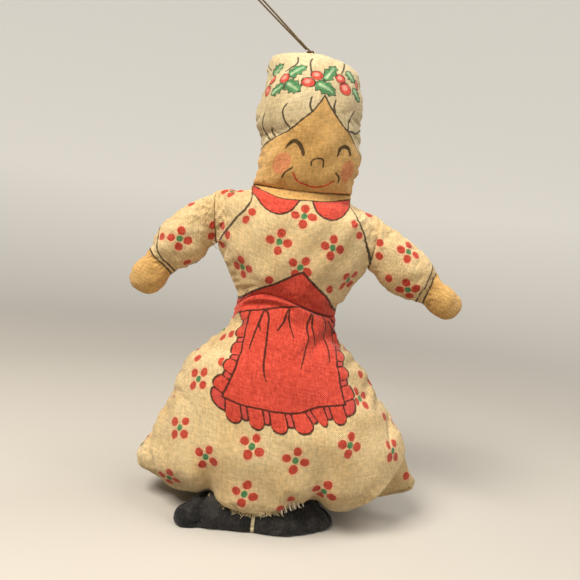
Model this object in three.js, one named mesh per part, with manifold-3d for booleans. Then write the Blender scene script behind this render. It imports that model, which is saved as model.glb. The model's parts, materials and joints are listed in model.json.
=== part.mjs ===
import * as THREE from "three";
import Module from "manifold-3d";

const wasm = await Module();
wasm.setup();
const { Manifold, Mesh } = wasm;

// Millimetres, +Z up, the doll faces -Y and stands on its shoes; left and right are the doll's own

// Cloth, thread and sewing
const CLOTH = 0.5;
const SEAM_GAP = 0.3;
const FILL_GAP = 0.4;
const FILL_END = 3;
const SEAM_TUCK = 0.8;
const CREASE = 4;
const FOLD_GAP = 1.2;
const SEWING_THREAD = 0.5;
const FOLD_PINCH = 1.8;
const HEM_EASE = 2;

// Lengths up the body, from the hem over the shoes to the top seam of the head
const HEM_HEIGHT = 5.6;
const SKIRT_LENGTH = 57;
const BODICE_LENGTH = 40.9;
const HEAD_LENGTH = 41.7;

// Head
const NECK_WIDTH = 31.2;
const NECK_DEPTH = 17.6;
const FACE_WIDTH = 32.6;
const FACE_DEPTH = 28;
const FACE_SHIFT = 2;
const HAIR_WIDTH = 33.8;
const HAIR_DEPTH = 30.4;
const BUN_WIDTH = 28.8;
const BUN_DEPTH = 24.4;
const BUN_SHIFT = -2.8;

// Bodice and waist
const WAIST_WIDTH = 32;
const WAIST_DEPTH = 20;
const CHEST_DEPTH = 30;
const ARMPIT_WIDTH = 49.6;
const SHOULDER_WIDTH = 52.8;

// Skirt
const HIP_WIDTH = 58.8;
const HIP_DEPTH = 37.8;
const SKIRT_WIDTH = 78;
const SKIRT_DEPTH = 45.6;
const CORNER_WIDTH = 91.4;
const CORNER_DEPTH = 44.6;
const SKIRT_SWAY = 2.6;

// Arms, each drawn from its shoulder fold to the tip of its hand
const ARM_WIDTH = 16.6;
const ARM_DEPTH = 15.4;
const CUFF_WIDTH = 10;
const CUFF_DEPTH = 9.2;
const HAND_WIDTH = 11.6;
const HAND_DEPTH = 9.6;
const LEFT_REACH = 28.8;
const LEFT_DROP = 20.7;
const LEFT_HAND_ANGLE = 34;
const RIGHT_REACH = 21.9;
const RIGHT_DROP = 24.7;
const RIGHT_HAND_ANGLE = 66;
const ARM_START_ANGLE = 36;

// Shoes, one long pad stuffed for both feet
const SHOE_LENGTH = 47.6;
const HEEL_DEPTH = 12.8;
const TOE_DEPTH = 18;
const SHOE_HEIGHT = 13;
const SHOE_SHIFT = -2.2;
const SHOE_FORWARD = 2;
const SOLE_CUT = 0.5;

// Hanging thread
const HANG_THREAD = 0.6;
const KNOT_SIZE = 2.2;
const LOOP_LEAN = 50;
const KNOT_SHIFT = -1.6;

// Whip stitches along the front hem
const STITCH_SPAN = 28;
const STITCH_COUNT = 8;
const STITCH_RISE = 1.8;

const COLUMNS = 10;
const RING_SIDES = 14;
const WAD_SIDES = 18;
const SEAM_POWER = 1.2;
const SEAM_FULLNESS = 0.91;
const SHOULDER_POWER = 1.6;
const SHOE_POWER = 0.75;

const waistZ = HEM_HEIGHT + SKIRT_LENGTH;
const neckZ = waistZ + BODICE_LENGTH;
const crownZ = neckZ + HEAD_LENGTH;
const armpitZ = waistZ + BODICE_LENGTH * 0.48;
const shoulderZ = neckZ - CREASE / 2 - BODICE_LENGTH * 0.08;

// Value through a run of points that never swings past them
function through(at, values) {
  const slope = values.slice(1).map((v, i) => (v - values[i]) / (at[i + 1] - at[i]));
  const tangent = values.map((v, i) => {
    if (i === 0) return slope[0];
    if (i === values.length - 1) return slope[i - 1];
    const product = slope[i - 1] * slope[i];
    return product > 0 ? (2 * product) / (slope[i - 1] + slope[i]) : 0;
  });
  return (x) => {
    let i = at.findIndex((a, k) => k > 0 && x <= a) - 1;
    if (i < 0) i = at.length - 2;
    const h = at[i + 1] - at[i];
    const t = (x - at[i]) / h;
    const rise = t * t * (3 - 2 * t);
    const lead = t * (1 - t) * (1 - t) * h * tangent[i];
    const trail = t * t * (t - 1) * h * tangent[i + 1];
    return values[i] + (values[i + 1] - values[i]) * rise + lead + trail;
  };
}

// Half width, half depth behind and before the seam, and sideways centre of a stuffed section
function sectionThrough(stations) {
  const at = stations.map((s) => s.at);
  const curve = (key) => through(at, stations.map((s) => s[key] ?? 0));
  const frontDepth = through(at, stations.map((s) => s.frontDepth ?? s.halfDepth));
  const halfDepth = curve("halfDepth");
  return { at, halfWidth: curve("halfWidth"), halfDepth, frontDepth, centre: curve("centre") };
}

// The stations of a section with further rows evenly between them
function rowsOf(at, between) {
  const rows = [];
  for (let i = 0; i < at.length - 1; i += 1) {
    for (let k = 0; k < between; k += 1) {
      rows.push(at[i] + ((at[i + 1] - at[i]) * k) / between);
    }
  }
  rows.push(at[at.length - 1]);
  return rows;
}

// A point of a lens cross section: one seam at angle 0, the other at half a turn
function lens(angle, halfWidth, halfDepth, power) {
  const c = Math.cos(angle);
  const s = Math.max(0, Math.sin(angle));
  const across = Math.sign(c) * Math.pow(Math.abs(c), SEAM_FULLNESS);
  return [halfWidth * across, halfDepth * Math.pow(s, power)];
}

function closedBody(points, faces) {
  const body = new THREE.BufferGeometry();
  body.setAttribute("position", new THREE.Float32BufferAttribute(points.flatMap((p) => p.toArray()), 3));
  const turned = new THREE.Vector3();
  let volume = 0;
  for (const [a, b, c] of faces) {
    volume += points[a].dot(turned.crossVectors(points[b], points[c]));
  }
  body.setIndex(faces.flatMap(([a, b, c]) => (volume > 0 ? [a, b, c] : [a, c, b])));
  return body;
}

// A cloth panel: an outer skin of points and an inner skin one layer of cloth behind it
function clothPanel(grid, side, hold) {
  const height = grid.length;
  const across = grid[0].length;
  const outer = grid.flat();
  const faces = [];
  for (let j = 0; j < height - 1; j += 1) {
    for (let i = 0; i < across - 1; i += 1) {
      const a = j * across + i;
      faces.push([a, a + 1, a + across], [a + 1, a + across + 1, a + across]);
    }
  }
  const skin = new THREE.BufferGeometry();
  skin.setAttribute("position", new THREE.Float32BufferAttribute(outer.flatMap((p) => p.toArray()), 3));
  skin.setIndex(faces.flat());
  skin.computeVertexNormals();
  const normals = skin.getAttribute("normal");
  const middle = Math.floor(height / 2) * across + Math.floor(across / 2);
  const out = normals.getY(middle) * side > 0 ? 1 : -1;
  const inner = outer.map((p, k) => {
    const normal = new THREE.Vector3().fromBufferAttribute(normals, k).multiplyScalar(out);
    for (const fixed of hold(Math.floor(k / across), k % across)) {
      normal.addScaledVector(fixed, -normal.dot(fixed));
    }
    return p.clone().addScaledVector(normal.normalize(), -CLOTH);
  });
  const count = outer.length;
  const edge = [];
  for (let i = 0; i < across - 1; i += 1) edge.push(i);
  for (let j = 0; j < height - 1; j += 1) edge.push(j * across + across - 1);
  for (let i = across - 1; i > 0; i -= 1) edge.push((height - 1) * across + i);
  for (let j = height - 1; j > 0; j -= 1) edge.push(j * across);
  const all = [...faces];
  for (const [a, b, c] of faces) all.push([a + count, c + count, b + count]);
  edge.forEach((a, k) => {
    const b = edge[(k + 1) % edge.length];
    all.push([b, a, a + count], [b, a + count, b + count]);
  });
  return closedBody([...outer, ...inner], all);
}

// A packed wad of stuffing through rings of points, each end drawn to its ring's middle
function stuffedWad(rings) {
  const points = rings.flat();
  const sides = rings[0].length;
  const faces = [];
  for (let j = 0; j < rings.length - 1; j += 1) {
    for (let i = 0; i < sides; i += 1) {
      const a = j * sides + i;
      const b = j * sides + ((i + 1) % sides);
      faces.push([a, b, a + sides], [b, b + sides, a + sides]);
    }
  }
  for (const [ring, start, turn] of [[rings[0], 0, 1], [rings.at(-1), (rings.length - 1) * sides, -1]]) {
    const middle = new THREE.Vector3();
    for (const p of ring) middle.addScaledVector(p, 1 / sides);
    points.push(middle);
    for (let i = 0; i < sides; i += 1) {
      const a = start + i;
      const b = start + ((i + 1) % sides);
      faces.push(turn > 0 ? [b, a, points.length - 1] : [a, b, points.length - 1]);
    }
  }
  return closedBody(points, faces);
}

function toManifold(geometry) {
  const vertProperties = new Float32Array(geometry.getAttribute("position").array);
  const triVerts = new Uint32Array(geometry.getIndex().array);
  return new Manifold(new Mesh({ numProp: 3, vertProperties, triVerts }));
}

function fromManifold(solid) {
  const mesh = solid.getMesh();
  const geometry = new THREE.BufferGeometry();
  geometry.setAttribute("position", new THREE.Float32BufferAttribute(mesh.vertProperties, 3));
  geometry.setIndex(Array.from(mesh.triVerts));
  return geometry;
}

// A spindle of stuffing lying across the doll, round about its own X axis
function crossWad(width, depth, z, grow) {
  const halfWidth = width / 2 - CLOTH - FILL_GAP + grow;
  const radius = depth / 2 - CLOTH - FILL_GAP + grow;
  const profile = [];
  for (let i = 0; i <= 10; i += 1) {
    const [x, r] = lens((Math.PI * i) / 10, halfWidth, radius, SEAM_POWER);
    profile.push(new THREE.Vector2(i === 0 || i === 10 ? 0 : r, x));
  }
  const rings = profile.slice(1, -1).map((p) => {
    const ring = [];
    for (let k = 0; k < WAD_SIDES; k += 1) {
      const turn = (Math.PI * 2 * k) / WAD_SIDES;
      ring.push(new THREE.Vector3(p.y, p.x * Math.cos(turn), z + p.x * Math.sin(turn)));
    }
    return ring;
  });
  return stuffedWad(rings);
}

const seamWay = new THREE.Vector3(0, 1, 0);
const upWay = new THREE.Vector3(0, 0, 1);

// Front or back panel of an upright section, open at its creases, sewn shut where its depth runs out
function uprightPanel(section, rows, side, seamY, power, openBottom, openTop) {
  const last = rows.length - 1;
  const grid = rows.map((z) => {
    const row = [];
    for (let i = 0; i <= COLUMNS; i += 1) {
      const angle = (Math.PI * i) / COLUMNS;
      const depth = side < 0 ? section.frontDepth(z) : section.halfDepth(z);
      const [x, y] = lens(angle, section.halfWidth(z), depth, power);
      const edgeGap = SEAM_GAP / 2;
      row.push(new THREE.Vector3(section.centre(z) + x, seamY + side * (edgeGap + y), z));
    }
    return row;
  });
  return clothPanel(grid, side, (j, i) => {
    const fixed = [];
    const closedEnd = (j === 0 && !openBottom) || (j === last && !openTop);
    if (i === 0 || i === COLUMNS || closedEnd) fixed.push(seamWay);
    if ((j === 0 && openBottom) || (j === last && openTop)) fixed.push(upWay);
    return fixed;
  });
}

// Stuffing of an upright section between two heights, inset from the cloth round it
function uprightStuffing(section, heights, seamY, power) {
  const inset = CLOTH + FILL_GAP;
  return stuffedWad(heights.map(([z, share]) => {
    const ring = [];
    for (let k = 0; k < RING_SIDES; k += 1) {
      const turn = (Math.PI * 2 * k) / RING_SIDES;
      const halfWidth = (section.halfWidth(z) - inset - SEAM_TUCK) * share;
      const halfDepth = (section.halfDepth(z) - inset) * share;
      const angle = turn <= Math.PI ? turn : Math.PI * 2 - turn;
      const [x, y] = lens(angle, halfWidth, halfDepth, power);
      ring.push(new THREE.Vector3(section.centre(z) + x, seamY + (turn <= Math.PI ? y : -y), z));
    }
    return ring;
  }));
}

function threadAlong(points, diameter, sides, stepsPerPoint) {
  const path = new THREE.CatmullRomCurve3(points);
  const round = new THREE.Shape();
  for (let k = 0; k < sides; k += 1) {
    const turn = (Math.PI * 2 * k) / sides;
    const at = [(diameter / 2) * Math.cos(turn), (diameter / 2) * Math.sin(turn)];
    if (k === 0) round.moveTo(...at);
    else round.lineTo(...at);
  }
  const steps = (points.length - 1) * stepsPerPoint;
  return new THREE.ExtrudeGeometry(round, { steps, bevelEnabled: false, extrudePath: path });
}

const looks = {
  printedCotton: { color: 0xead6a0, roughness: 0.92 },
  facePrint: { color: 0xd8aa64, roughness: 0.92 },
  hairPrint: { color: 0xd2c098, roughness: 0.92 },
  shoeCloth: { color: 0x1c1c20, roughness: 0.65 },
  stuffing: { color: 0xf2efe6, roughness: 0.95 },
  whiteThread: { color: 0xf4f1e8, roughness: 0.85 },
  hangingThread: { color: 0x6b5838, roughness: 0.85 },
};

const doll = new THREE.Group();
doll.name = "cloth_doll";

function add(name, geometry, look) {
  const mesh = new THREE.Mesh(geometry, new THREE.MeshStandardMaterial({ ...looks[look], metalness: 0 }));
  mesh.name = name;
  doll.add(mesh);
}

// Shoes
const shoeHalf = SHOE_LENGTH / 2;
const shoe = sectionThrough([
  [-SOLE_CUT, 0.9, 0.8, 0.86],
  [SHOE_HEIGHT * 0.1, 0.97, 0.95, 1],
  [SHOE_HEIGHT * 0.25, 1, 1, 1],
  [SHOE_HEIGHT * 0.45, 0.99, 0.97, 0.9],
  [SHOE_HEIGHT * 0.66, 0.93, 0.86, 0.74],
  [SHOE_HEIGHT * 0.87, 0.76, 0.58, 0.46],
  [SHOE_HEIGHT, 0.34, 0, 0],
].map(([at, wide, heel, toe]) => ({
  at,
  halfWidth: shoeHalf * wide,
  halfDepth: HEEL_DEPTH * heel,
  frontDepth: TOE_DEPTH * toe,
  centre: SHOE_SHIFT,
})));
const shoeRows = [0, ...rowsOf(shoe.at, 2).filter((z) => z > SEAM_GAP)];

// The shoe panel's first row lies along the seam under the sole, which the cut leaves flat
function shoePanel(side) {
  const grid = [null, ...shoeRows].map((z, j) => {
    const row = [];
    for (let i = 0; i <= COLUMNS; i += 1) {
      const level = z ?? 0;
      const angle = (Math.PI * i) / COLUMNS;
      const depth = side < 0 ? shoe.frontDepth(level) : shoe.halfDepth(level);
      const [x, y] = lens(angle, shoe.halfWidth(level), depth, SHOE_POWER);
      const out = j === 0 ? 0 : y;
      row.push(new THREE.Vector3(SHOE_SHIFT + x, -SHOE_FORWARD + side * (SEAM_GAP / 2 + out), level));
    }
    return row;
  });
  return clothPanel(grid, side, (j, i) => {
    const sewn = i === 0 || i === COLUMNS || j === 0 || j === grid.length - 1;
    return sewn ? [seamWay] : [];
  });
}

add("shoe_front_panel", shoePanel(-1), "shoeCloth");
add("shoe_back_panel", shoePanel(1), "shoeCloth");
const shoeFillHeights = [
  [CLOTH + FILL_GAP, 0.94],
  [SHOE_HEIGHT * 0.2, 0.97],
  [SHOE_HEIGHT * 0.36, 1],
  [SHOE_HEIGHT * 0.62, 0.97],
  [SHOE_HEIGHT * 0.8, 0.92],
  [SHOE_HEIGHT - CLOTH - FILL_GAP * 2, 0.7],
];
add("shoe_stuffing", uprightStuffing(shoe, shoeFillHeights, -SHOE_FORWARD, SHOE_POWER), "stuffing");

// Skirt, a bag whose mouth closes round the top of the shoes
const skirtAt = (share) => HEM_HEIGHT + SKIRT_LENGTH * share;
const mouthHalf = shoeHalf + HEM_EASE * 2;
const mouthBack = shoe.halfDepth(HEM_HEIGHT) - SHOE_FORWARD + HEM_EASE * 2;
const mouthFront = shoe.frontDepth(HEM_HEIGHT) + SHOE_FORWARD + HEM_EASE;
const cornerHalf = CORNER_WIDTH / 2;
const cornerDeep = CORNER_DEPTH / 2;
const flareHalf = SKIRT_WIDTH / 2;
const flareDeep = SKIRT_DEPTH / 2;
const skirt = sectionThrough([
  { at: HEM_HEIGHT, halfWidth: mouthHalf, halfDepth: mouthBack, frontDepth: mouthFront, centre: SHOE_SHIFT },
  { at: skirtAt(0.035), halfWidth: cornerHalf * 0.84, halfDepth: cornerDeep * 0.86, centre: SKIRT_SWAY / 2 },
  { at: skirtAt(0.095), halfWidth: cornerHalf, halfDepth: cornerDeep * 0.97, centre: SKIRT_SWAY },
  { at: skirtAt(0.14), halfWidth: cornerHalf, halfDepth: cornerDeep, centre: SKIRT_SWAY },
  { at: skirtAt(0.39), halfWidth: flareHalf, halfDepth: flareDeep, centre: SKIRT_SWAY },
  { at: skirtAt(0.6), halfWidth: flareHalf * 0.84, halfDepth: flareDeep * 0.89, centre: 0 },
  { at: skirtAt(0.71), halfWidth: HIP_WIDTH / 2, halfDepth: HIP_DEPTH / 2, centre: 0 },
  { at: skirtAt(0.81), halfWidth: HIP_WIDTH * 0.4, halfDepth: HIP_DEPTH * 0.44, centre: 0 },
  { at: skirtAt(0.92), halfWidth: HIP_WIDTH * 0.305, halfDepth: HIP_DEPTH * 0.36, centre: 0 },
  { at: waistZ, halfWidth: WAIST_WIDTH / 2, halfDepth: WAIST_DEPTH / 2, centre: 0 },
]);
const skirtRows = [...rowsOf(skirt.at, 2).filter((z) => z < waistZ - CREASE * 0.75), waistZ - CREASE / 2];
add("skirt_front_panel", uprightPanel(skirt, skirtRows, -1, 0, SEAM_POWER, true, true), "printedCotton");
add("skirt_back_panel", uprightPanel(skirt, skirtRows, 1, 0, SEAM_POWER, true, true), "printedCotton");
const waistSocket = toManifold(crossWad(WAIST_WIDTH, WAIST_DEPTH, waistZ, FILL_GAP));
const skirtFillBottom = SHOE_HEIGHT + FILL_GAP;
const skirtFillTop = waistZ - CREASE / 2 - FILL_END;
const skirtFill = uprightStuffing(
  skirt,
  rowsOf([skirtFillBottom, skirtFillTop], 7).map((z, k) => [z, k === 0 ? 0.95 : 1]),
  0,
  SEAM_POWER,
);
add("skirt_stuffing", fromManifold(toManifold(skirtFill).subtract(waistSocket)), "stuffing");
add("waist_wad", crossWad(WAIST_WIDTH, WAIST_DEPTH, waistZ, 0), "stuffing");

// Bodice, whose sides run along the shoulder folds between armpit and shoulder
const foldTop = new THREE.Vector3(SHOULDER_WIDTH / 2, 0, shoulderZ);
const foldBottom = new THREE.Vector3(ARMPIT_WIDTH / 2, 0, armpitZ);
const foldHalf = FOLD_GAP / 2;
const rootX = (ARMPIT_WIDTH + SHOULDER_WIDTH) / 4;
const bodiceAt = (share) => waistZ + BODICE_LENGTH * share;
const bodice = sectionThrough([
  { at: waistZ, halfWidth: WAIST_WIDTH / 2, halfDepth: WAIST_DEPTH / 2 },
  { at: bodiceAt(0.12), halfWidth: WAIST_WIDTH * 0.53, halfDepth: WAIST_DEPTH * 0.3 + CHEST_DEPTH * 0.2 },
  { at: bodiceAt(0.3), halfWidth: (WAIST_WIDTH + ARMPIT_WIDTH) * 0.257, halfDepth: CHEST_DEPTH * 0.47 },
  { at: armpitZ, halfWidth: ARMPIT_WIDTH / 2 - foldHalf, halfDepth: CHEST_DEPTH / 2 },
  { at: (armpitZ + shoulderZ) / 2, halfWidth: rootX - foldHalf, halfDepth: CHEST_DEPTH * 0.49 },
  { at: shoulderZ, halfWidth: SHOULDER_WIDTH / 2 - foldHalf, halfDepth: NECK_DEPTH * 0.68 },
  { at: neckZ - CREASE / 2, halfWidth: NECK_WIDTH * 0.526, halfDepth: NECK_DEPTH * 0.51 },
  { at: neckZ, halfWidth: NECK_WIDTH / 2, halfDepth: NECK_DEPTH / 2 },
]);
const bodiceRows = rowsOf([waistZ + CREASE / 2, ...bodice.at.slice(1, -1)], 2);
const bodicePanel = (side) => uprightPanel(bodice, bodiceRows, side, 0, SHOULDER_POWER, true, true);
add("bodice_front_panel", bodicePanel(-1), "printedCotton");
add("bodice_back_panel", bodicePanel(1), "printedCotton");
const neckSocket = toManifold(crossWad(NECK_WIDTH, NECK_DEPTH, neckZ, FILL_GAP));
const bodiceFill = uprightStuffing(
  bodice,
  rowsOf([waistZ + CREASE / 2 + FILL_END, bodiceAt(0.3), armpitZ, bodiceAt(0.77), bodiceAt(0.83)], 2)
    .map((z) => [z, z > bodiceAt(0.8) ? 0.9 : 1]),
  0,
  SHOULDER_POWER,
);
const bodiceCut = toManifold(bodiceFill).subtract(waistSocket).subtract(neckSocket);
add("bodice_stuffing", fromManifold(bodiceCut), "stuffing");
add("neck_wad", crossWad(NECK_WIDTH, NECK_DEPTH, neckZ, 0), "stuffing");

// Head, sewn shut across the crown
const headAt = (share) => neckZ + HEAD_LENGTH * share;
const chinHalf = (NECK_WIDTH + FACE_WIDTH) / 4;
const head = sectionThrough([
  { at: neckZ, halfWidth: NECK_WIDTH / 2, halfDepth: NECK_DEPTH / 2, centre: 0 },
  { at: headAt(0.1), halfWidth: chinHalf, halfDepth: FACE_DEPTH * 0.45, centre: FACE_SHIFT * 0.6 },
  { at: headAt(0.24), halfWidth: FACE_WIDTH / 2, halfDepth: FACE_DEPTH / 2, centre: FACE_SHIFT },
  { at: headAt(0.45), halfWidth: HAIR_WIDTH / 2, halfDepth: HAIR_DEPTH / 2, centre: FACE_SHIFT * 0.2 },
  { at: headAt(0.63), halfWidth: HAIR_WIDTH * 0.48, halfDepth: HAIR_DEPTH * 0.475, centre: FACE_SHIFT * 0.3 },
  { at: headAt(0.78), halfWidth: BUN_WIDTH * 0.52, halfDepth: BUN_DEPTH / 2, centre: FACE_SHIFT * 0.2 },
  { at: headAt(0.88), halfWidth: BUN_WIDTH * 0.505, halfDepth: BUN_DEPTH * 0.37, centre: BUN_SHIFT * 0.2 },
  { at: headAt(0.93), halfWidth: BUN_WIDTH * 0.465, halfDepth: BUN_DEPTH * 0.28, centre: BUN_SHIFT * 0.4 },
  { at: headAt(0.97), halfWidth: BUN_WIDTH * 0.38, halfDepth: BUN_DEPTH * 0.17, centre: BUN_SHIFT * 0.7 },
  { at: crownZ, halfWidth: BUN_WIDTH * 0.2, halfDepth: 0, centre: BUN_SHIFT },
]);
const headRows = rowsOf([neckZ + CREASE / 2, ...head.at.slice(1)], 2);
add("head_front_panel", uprightPanel(head, headRows, -1, 0, SEAM_POWER, true, false), "facePrint");
add("head_back_panel", uprightPanel(head, headRows, 1, 0, SEAM_POWER, true, false), "hairPrint");
const headFill = uprightStuffing(
  head,
  rowsOf([neckZ + CREASE / 2 + FILL_END, headAt(0.3), headAt(0.6), headAt(0.88), headAt(0.93)], 2)
    .map((z) => [z, z > headAt(0.86) ? 0.84 : z > headAt(0.7) ? 0.95 : 1]),
  0,
  SEAM_POWER,
);
add("head_stuffing", fromManifold(toManifold(headFill).subtract(neckSocket)), "stuffing");

// Arms, each a curved bag drawn flat where it is stitched to fold at the shoulder
const foldWay = new THREE.Vector3().subVectors(foldTop, foldBottom).normalize();
const awayWay = new THREE.Vector3(foldWay.z, 0, -foldWay.x);
const armWidths = sectionThrough([
  { at: 0, halfWidth: ARM_WIDTH / 2, halfDepth: FOLD_PINCH / 2 },
  { at: 0.13, halfWidth: ARM_WIDTH / 2, halfDepth: ARM_DEPTH * 0.28 },
  { at: 0.36, halfWidth: ARM_WIDTH * 0.495, halfDepth: ARM_DEPTH / 2 },
  { at: 0.61, halfWidth: CUFF_WIDTH / 2, halfDepth: CUFF_DEPTH / 2 },
  { at: 0.81, halfWidth: HAND_WIDTH / 2, halfDepth: HAND_DEPTH / 2 },
  { at: 0.93, halfWidth: HAND_WIDTH * 0.42, halfDepth: HAND_DEPTH * 0.4 },
  { at: 0.98, halfWidth: HAND_WIDTH * 0.29, halfDepth: HAND_DEPTH * 0.24 },
  { at: 1, halfWidth: HAND_WIDTH * 0.18, halfDepth: 0 },
]);
const armRows = rowsOf(armWidths.at, 2);

// The line through the middle of an arm on the doll's left, and the way across it
function armLine(reach, drop, handAngle) {
  const radians = Math.PI / 180;
  const root = foldTop.clone().add(foldBottom).multiplyScalar(0.5).addScaledVector(awayWay, foldHalf);
  const tip = new THREE.Vector3(root.x + reach, 0, root.z - drop);
  const way = (angle) => new THREE.Vector3(Math.cos(angle * radians), 0, -Math.sin(angle * radians));
  const run = Math.hypot(reach, drop) * 0.3;
  const bend = root.clone().addScaledVector(way(ARM_START_ANGLE), run);
  const wrist = tip.clone().addScaledVector(way(handAngle), -run);
  const line = new THREE.CubicBezierCurve3(root, bend, wrist, tip);
  const across = (t) => {
    const tangent = line.getTangentAt(t);
    const square = new THREE.Vector3(-tangent.z, 0, tangent.x);
    const share = THREE.MathUtils.smoothstep(t, 0, 0.42);
    return foldWay.clone().lerp(square, share).normalize();
  };
  return { line, across };
}

function mirrored(p, handed) {
  return new THREE.Vector3(p.x * handed, p.y, p.z);
}

function armPanel(arm, handed, side) {
  const last = armRows.length - 1;
  const grid = armRows.map((t) => {
    const spine = arm.line.getPointAt(t);
    const across = arm.across(t);
    const row = [];
    for (let i = 0; i <= COLUMNS; i += 1) {
      const angle = (Math.PI * i) / COLUMNS;
      const [w, d] = lens(angle, armWidths.halfWidth(t), armWidths.halfDepth(t), SEAM_POWER);
      const p = spine.clone().addScaledVector(across, w);
      p.y = side * (SEAM_GAP / 2 + d);
      row.push(mirrored(p, handed));
    }
    return row;
  });
  return clothPanel(grid, side, (j, i) => {
    const fixed = [];
    if (i === 0 || i === COLUMNS || j === last) fixed.push(seamWay);
    if (j === 0) fixed.push(mirrored(awayWay, handed));
    return fixed;
  });
}

function armStuffing(arm, handed) {
  const inset = CLOTH + FILL_GAP;
  const ends = [[0.9, 0.92], [0.93, 0.8]];
  const fill = [[0.14, 0.9], [0.24, 1], [0.36, 1], [0.5, 1], [0.63, 1], [0.82, 1], ...ends];
  return stuffedWad(fill.map(([t, share]) => {
    const spine = arm.line.getPointAt(t);
    const across = arm.across(t);
    const ring = [];
    for (let k = 0; k < RING_SIDES; k += 1) {
      const turn = (Math.PI * 2 * k) / RING_SIDES;
      const angle = turn <= Math.PI ? turn : Math.PI * 2 - turn;
      const halfWidth = (armWidths.halfWidth(t) - inset - SEAM_TUCK) * share;
      const halfDepth = (armWidths.halfDepth(t) - inset) * share;
      const [w, d] = lens(angle, halfWidth, halfDepth, SEAM_POWER);
      const p = spine.clone().addScaledVector(across, w);
      p.y = turn <= Math.PI ? d : -d;
      ring.push(mirrored(p, handed));
    }
    return ring;
  }));
}

const arms = [
  ["left", 1, armLine(LEFT_REACH, LEFT_DROP, LEFT_HAND_ANGLE)],
  ["right", -1, armLine(RIGHT_REACH, RIGHT_DROP, RIGHT_HAND_ANGLE)],
];
for (const [name, handed, arm] of arms) {
  add(`${name}_arm_front_panel`, armPanel(arm, handed, -1), "printedCotton");
  add(`${name}_arm_back_panel`, armPanel(arm, handed, 1), "printedCotton");
  add(`${name}_arm_stuffing`, armStuffing(arm, handed), "stuffing");
  const sewn = [0.06, 0.28, 0.5, 0.72, 0.94];
  const fold = sewn.map((t) => mirrored(foldBottom.clone().lerp(foldTop, t), handed));
  add(`${name}_shoulder_stitches`, threadAlong(fold, SEWING_THREAD, 6, 1), "whiteThread");
}

// Whip stitches, one thread wandering over the front hem and the shoes below it
const stitchPoints = [];
const stitchSteps = STITCH_COUNT * 4;
for (let k = 0; k <= stitchSteps; k += 1) {
  const x = SHOE_SHIFT + STITCH_SPAN * (k / stitchSteps - 0.5);
  const z = HEM_HEIGHT + STITCH_RISE * Math.cos((Math.PI * k) / 2);
  const depthAt = (section, height, power, centre) => {
    const share = Math.min(1, Math.abs(x - centre) / section.halfWidth(height));
    const angle = Math.acos(Math.pow(share, 1 / SEAM_FULLNESS));
    return section.frontDepth(height) * Math.pow(Math.sin(angle), power);
  };
  const level = Math.max(z, HEM_HEIGHT);
  const overSkirt = depthAt(skirt, level, SEAM_POWER, skirt.centre(level));
  const overShoe = SHOE_FORWARD + depthAt(shoe, HEM_HEIGHT * 0.7, SHOE_POWER, SHOE_SHIFT);
  const low = THREE.MathUtils.clamp((HEM_HEIGHT - z) / 2, 0, 1);
  const out = Math.max(overShoe, THREE.MathUtils.lerp(overSkirt, overShoe, low));
  stitchPoints.push(new THREE.Vector3(x, -(out + SEAM_GAP * 1.6 + SEWING_THREAD / 2), z));
}
add("hem_whip_stitches", threadAlong(stitchPoints, SEWING_THREAD, 5, 1), "whiteThread");

// Hanging knot on the crown, and the looped thread that leaves it up and to the side
const knotZ = crownZ + SEAM_GAP + KNOT_SIZE / 2;
const knot = new THREE.SphereGeometry(KNOT_SIZE / 2, 12, 8);
knot.deleteAttribute("uv");
add("hanging_knot", knot.translate(KNOT_SHIFT, 0, knotZ), "hangingThread");
const loopRoute = [
  [0.3, 0.52], [2.6, 0.56], [5.6, 0.75], [8.6, 0.95], [11.6, 1.15], [14.6, 1.3], [17.6, 1.42], [20.6, 1.5],
  [23.6, 1.55], [26.1, 1.55], [27.8, 1.25], [28.8, 0.68], [29.1, 0],
];
const loopStart = KNOT_SIZE / 2 + SEAM_GAP;
const loopLean = (LOOP_LEAN * Math.PI) / 180;
const loopPoint = ([along, out], sign) => {
  const reach = loopStart + along;
  const across = KNOT_SHIFT - reach * Math.sin(loopLean);
  return new THREE.Vector3(across, out * sign, knotZ + reach * Math.cos(loopLean));
};
const loopPoints = [
  ...loopRoute.map((p) => loopPoint(p, -1)),
  ...loopRoute.slice(0, -1).reverse().map((p) => loopPoint(p, 1)),
];
add("hanging_thread", threadAlong(loopPoints, HANG_THREAD, 8, 1), "hangingThread");

// The frame's origin lies under the middle of the doll's width
const middleX = new THREE.Box3().setFromObject(doll).getCenter(new THREE.Vector3()).x;
for (const mesh of doll.children) mesh.geometry.translate(-middleX, 0, 0);

export default doll;
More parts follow.
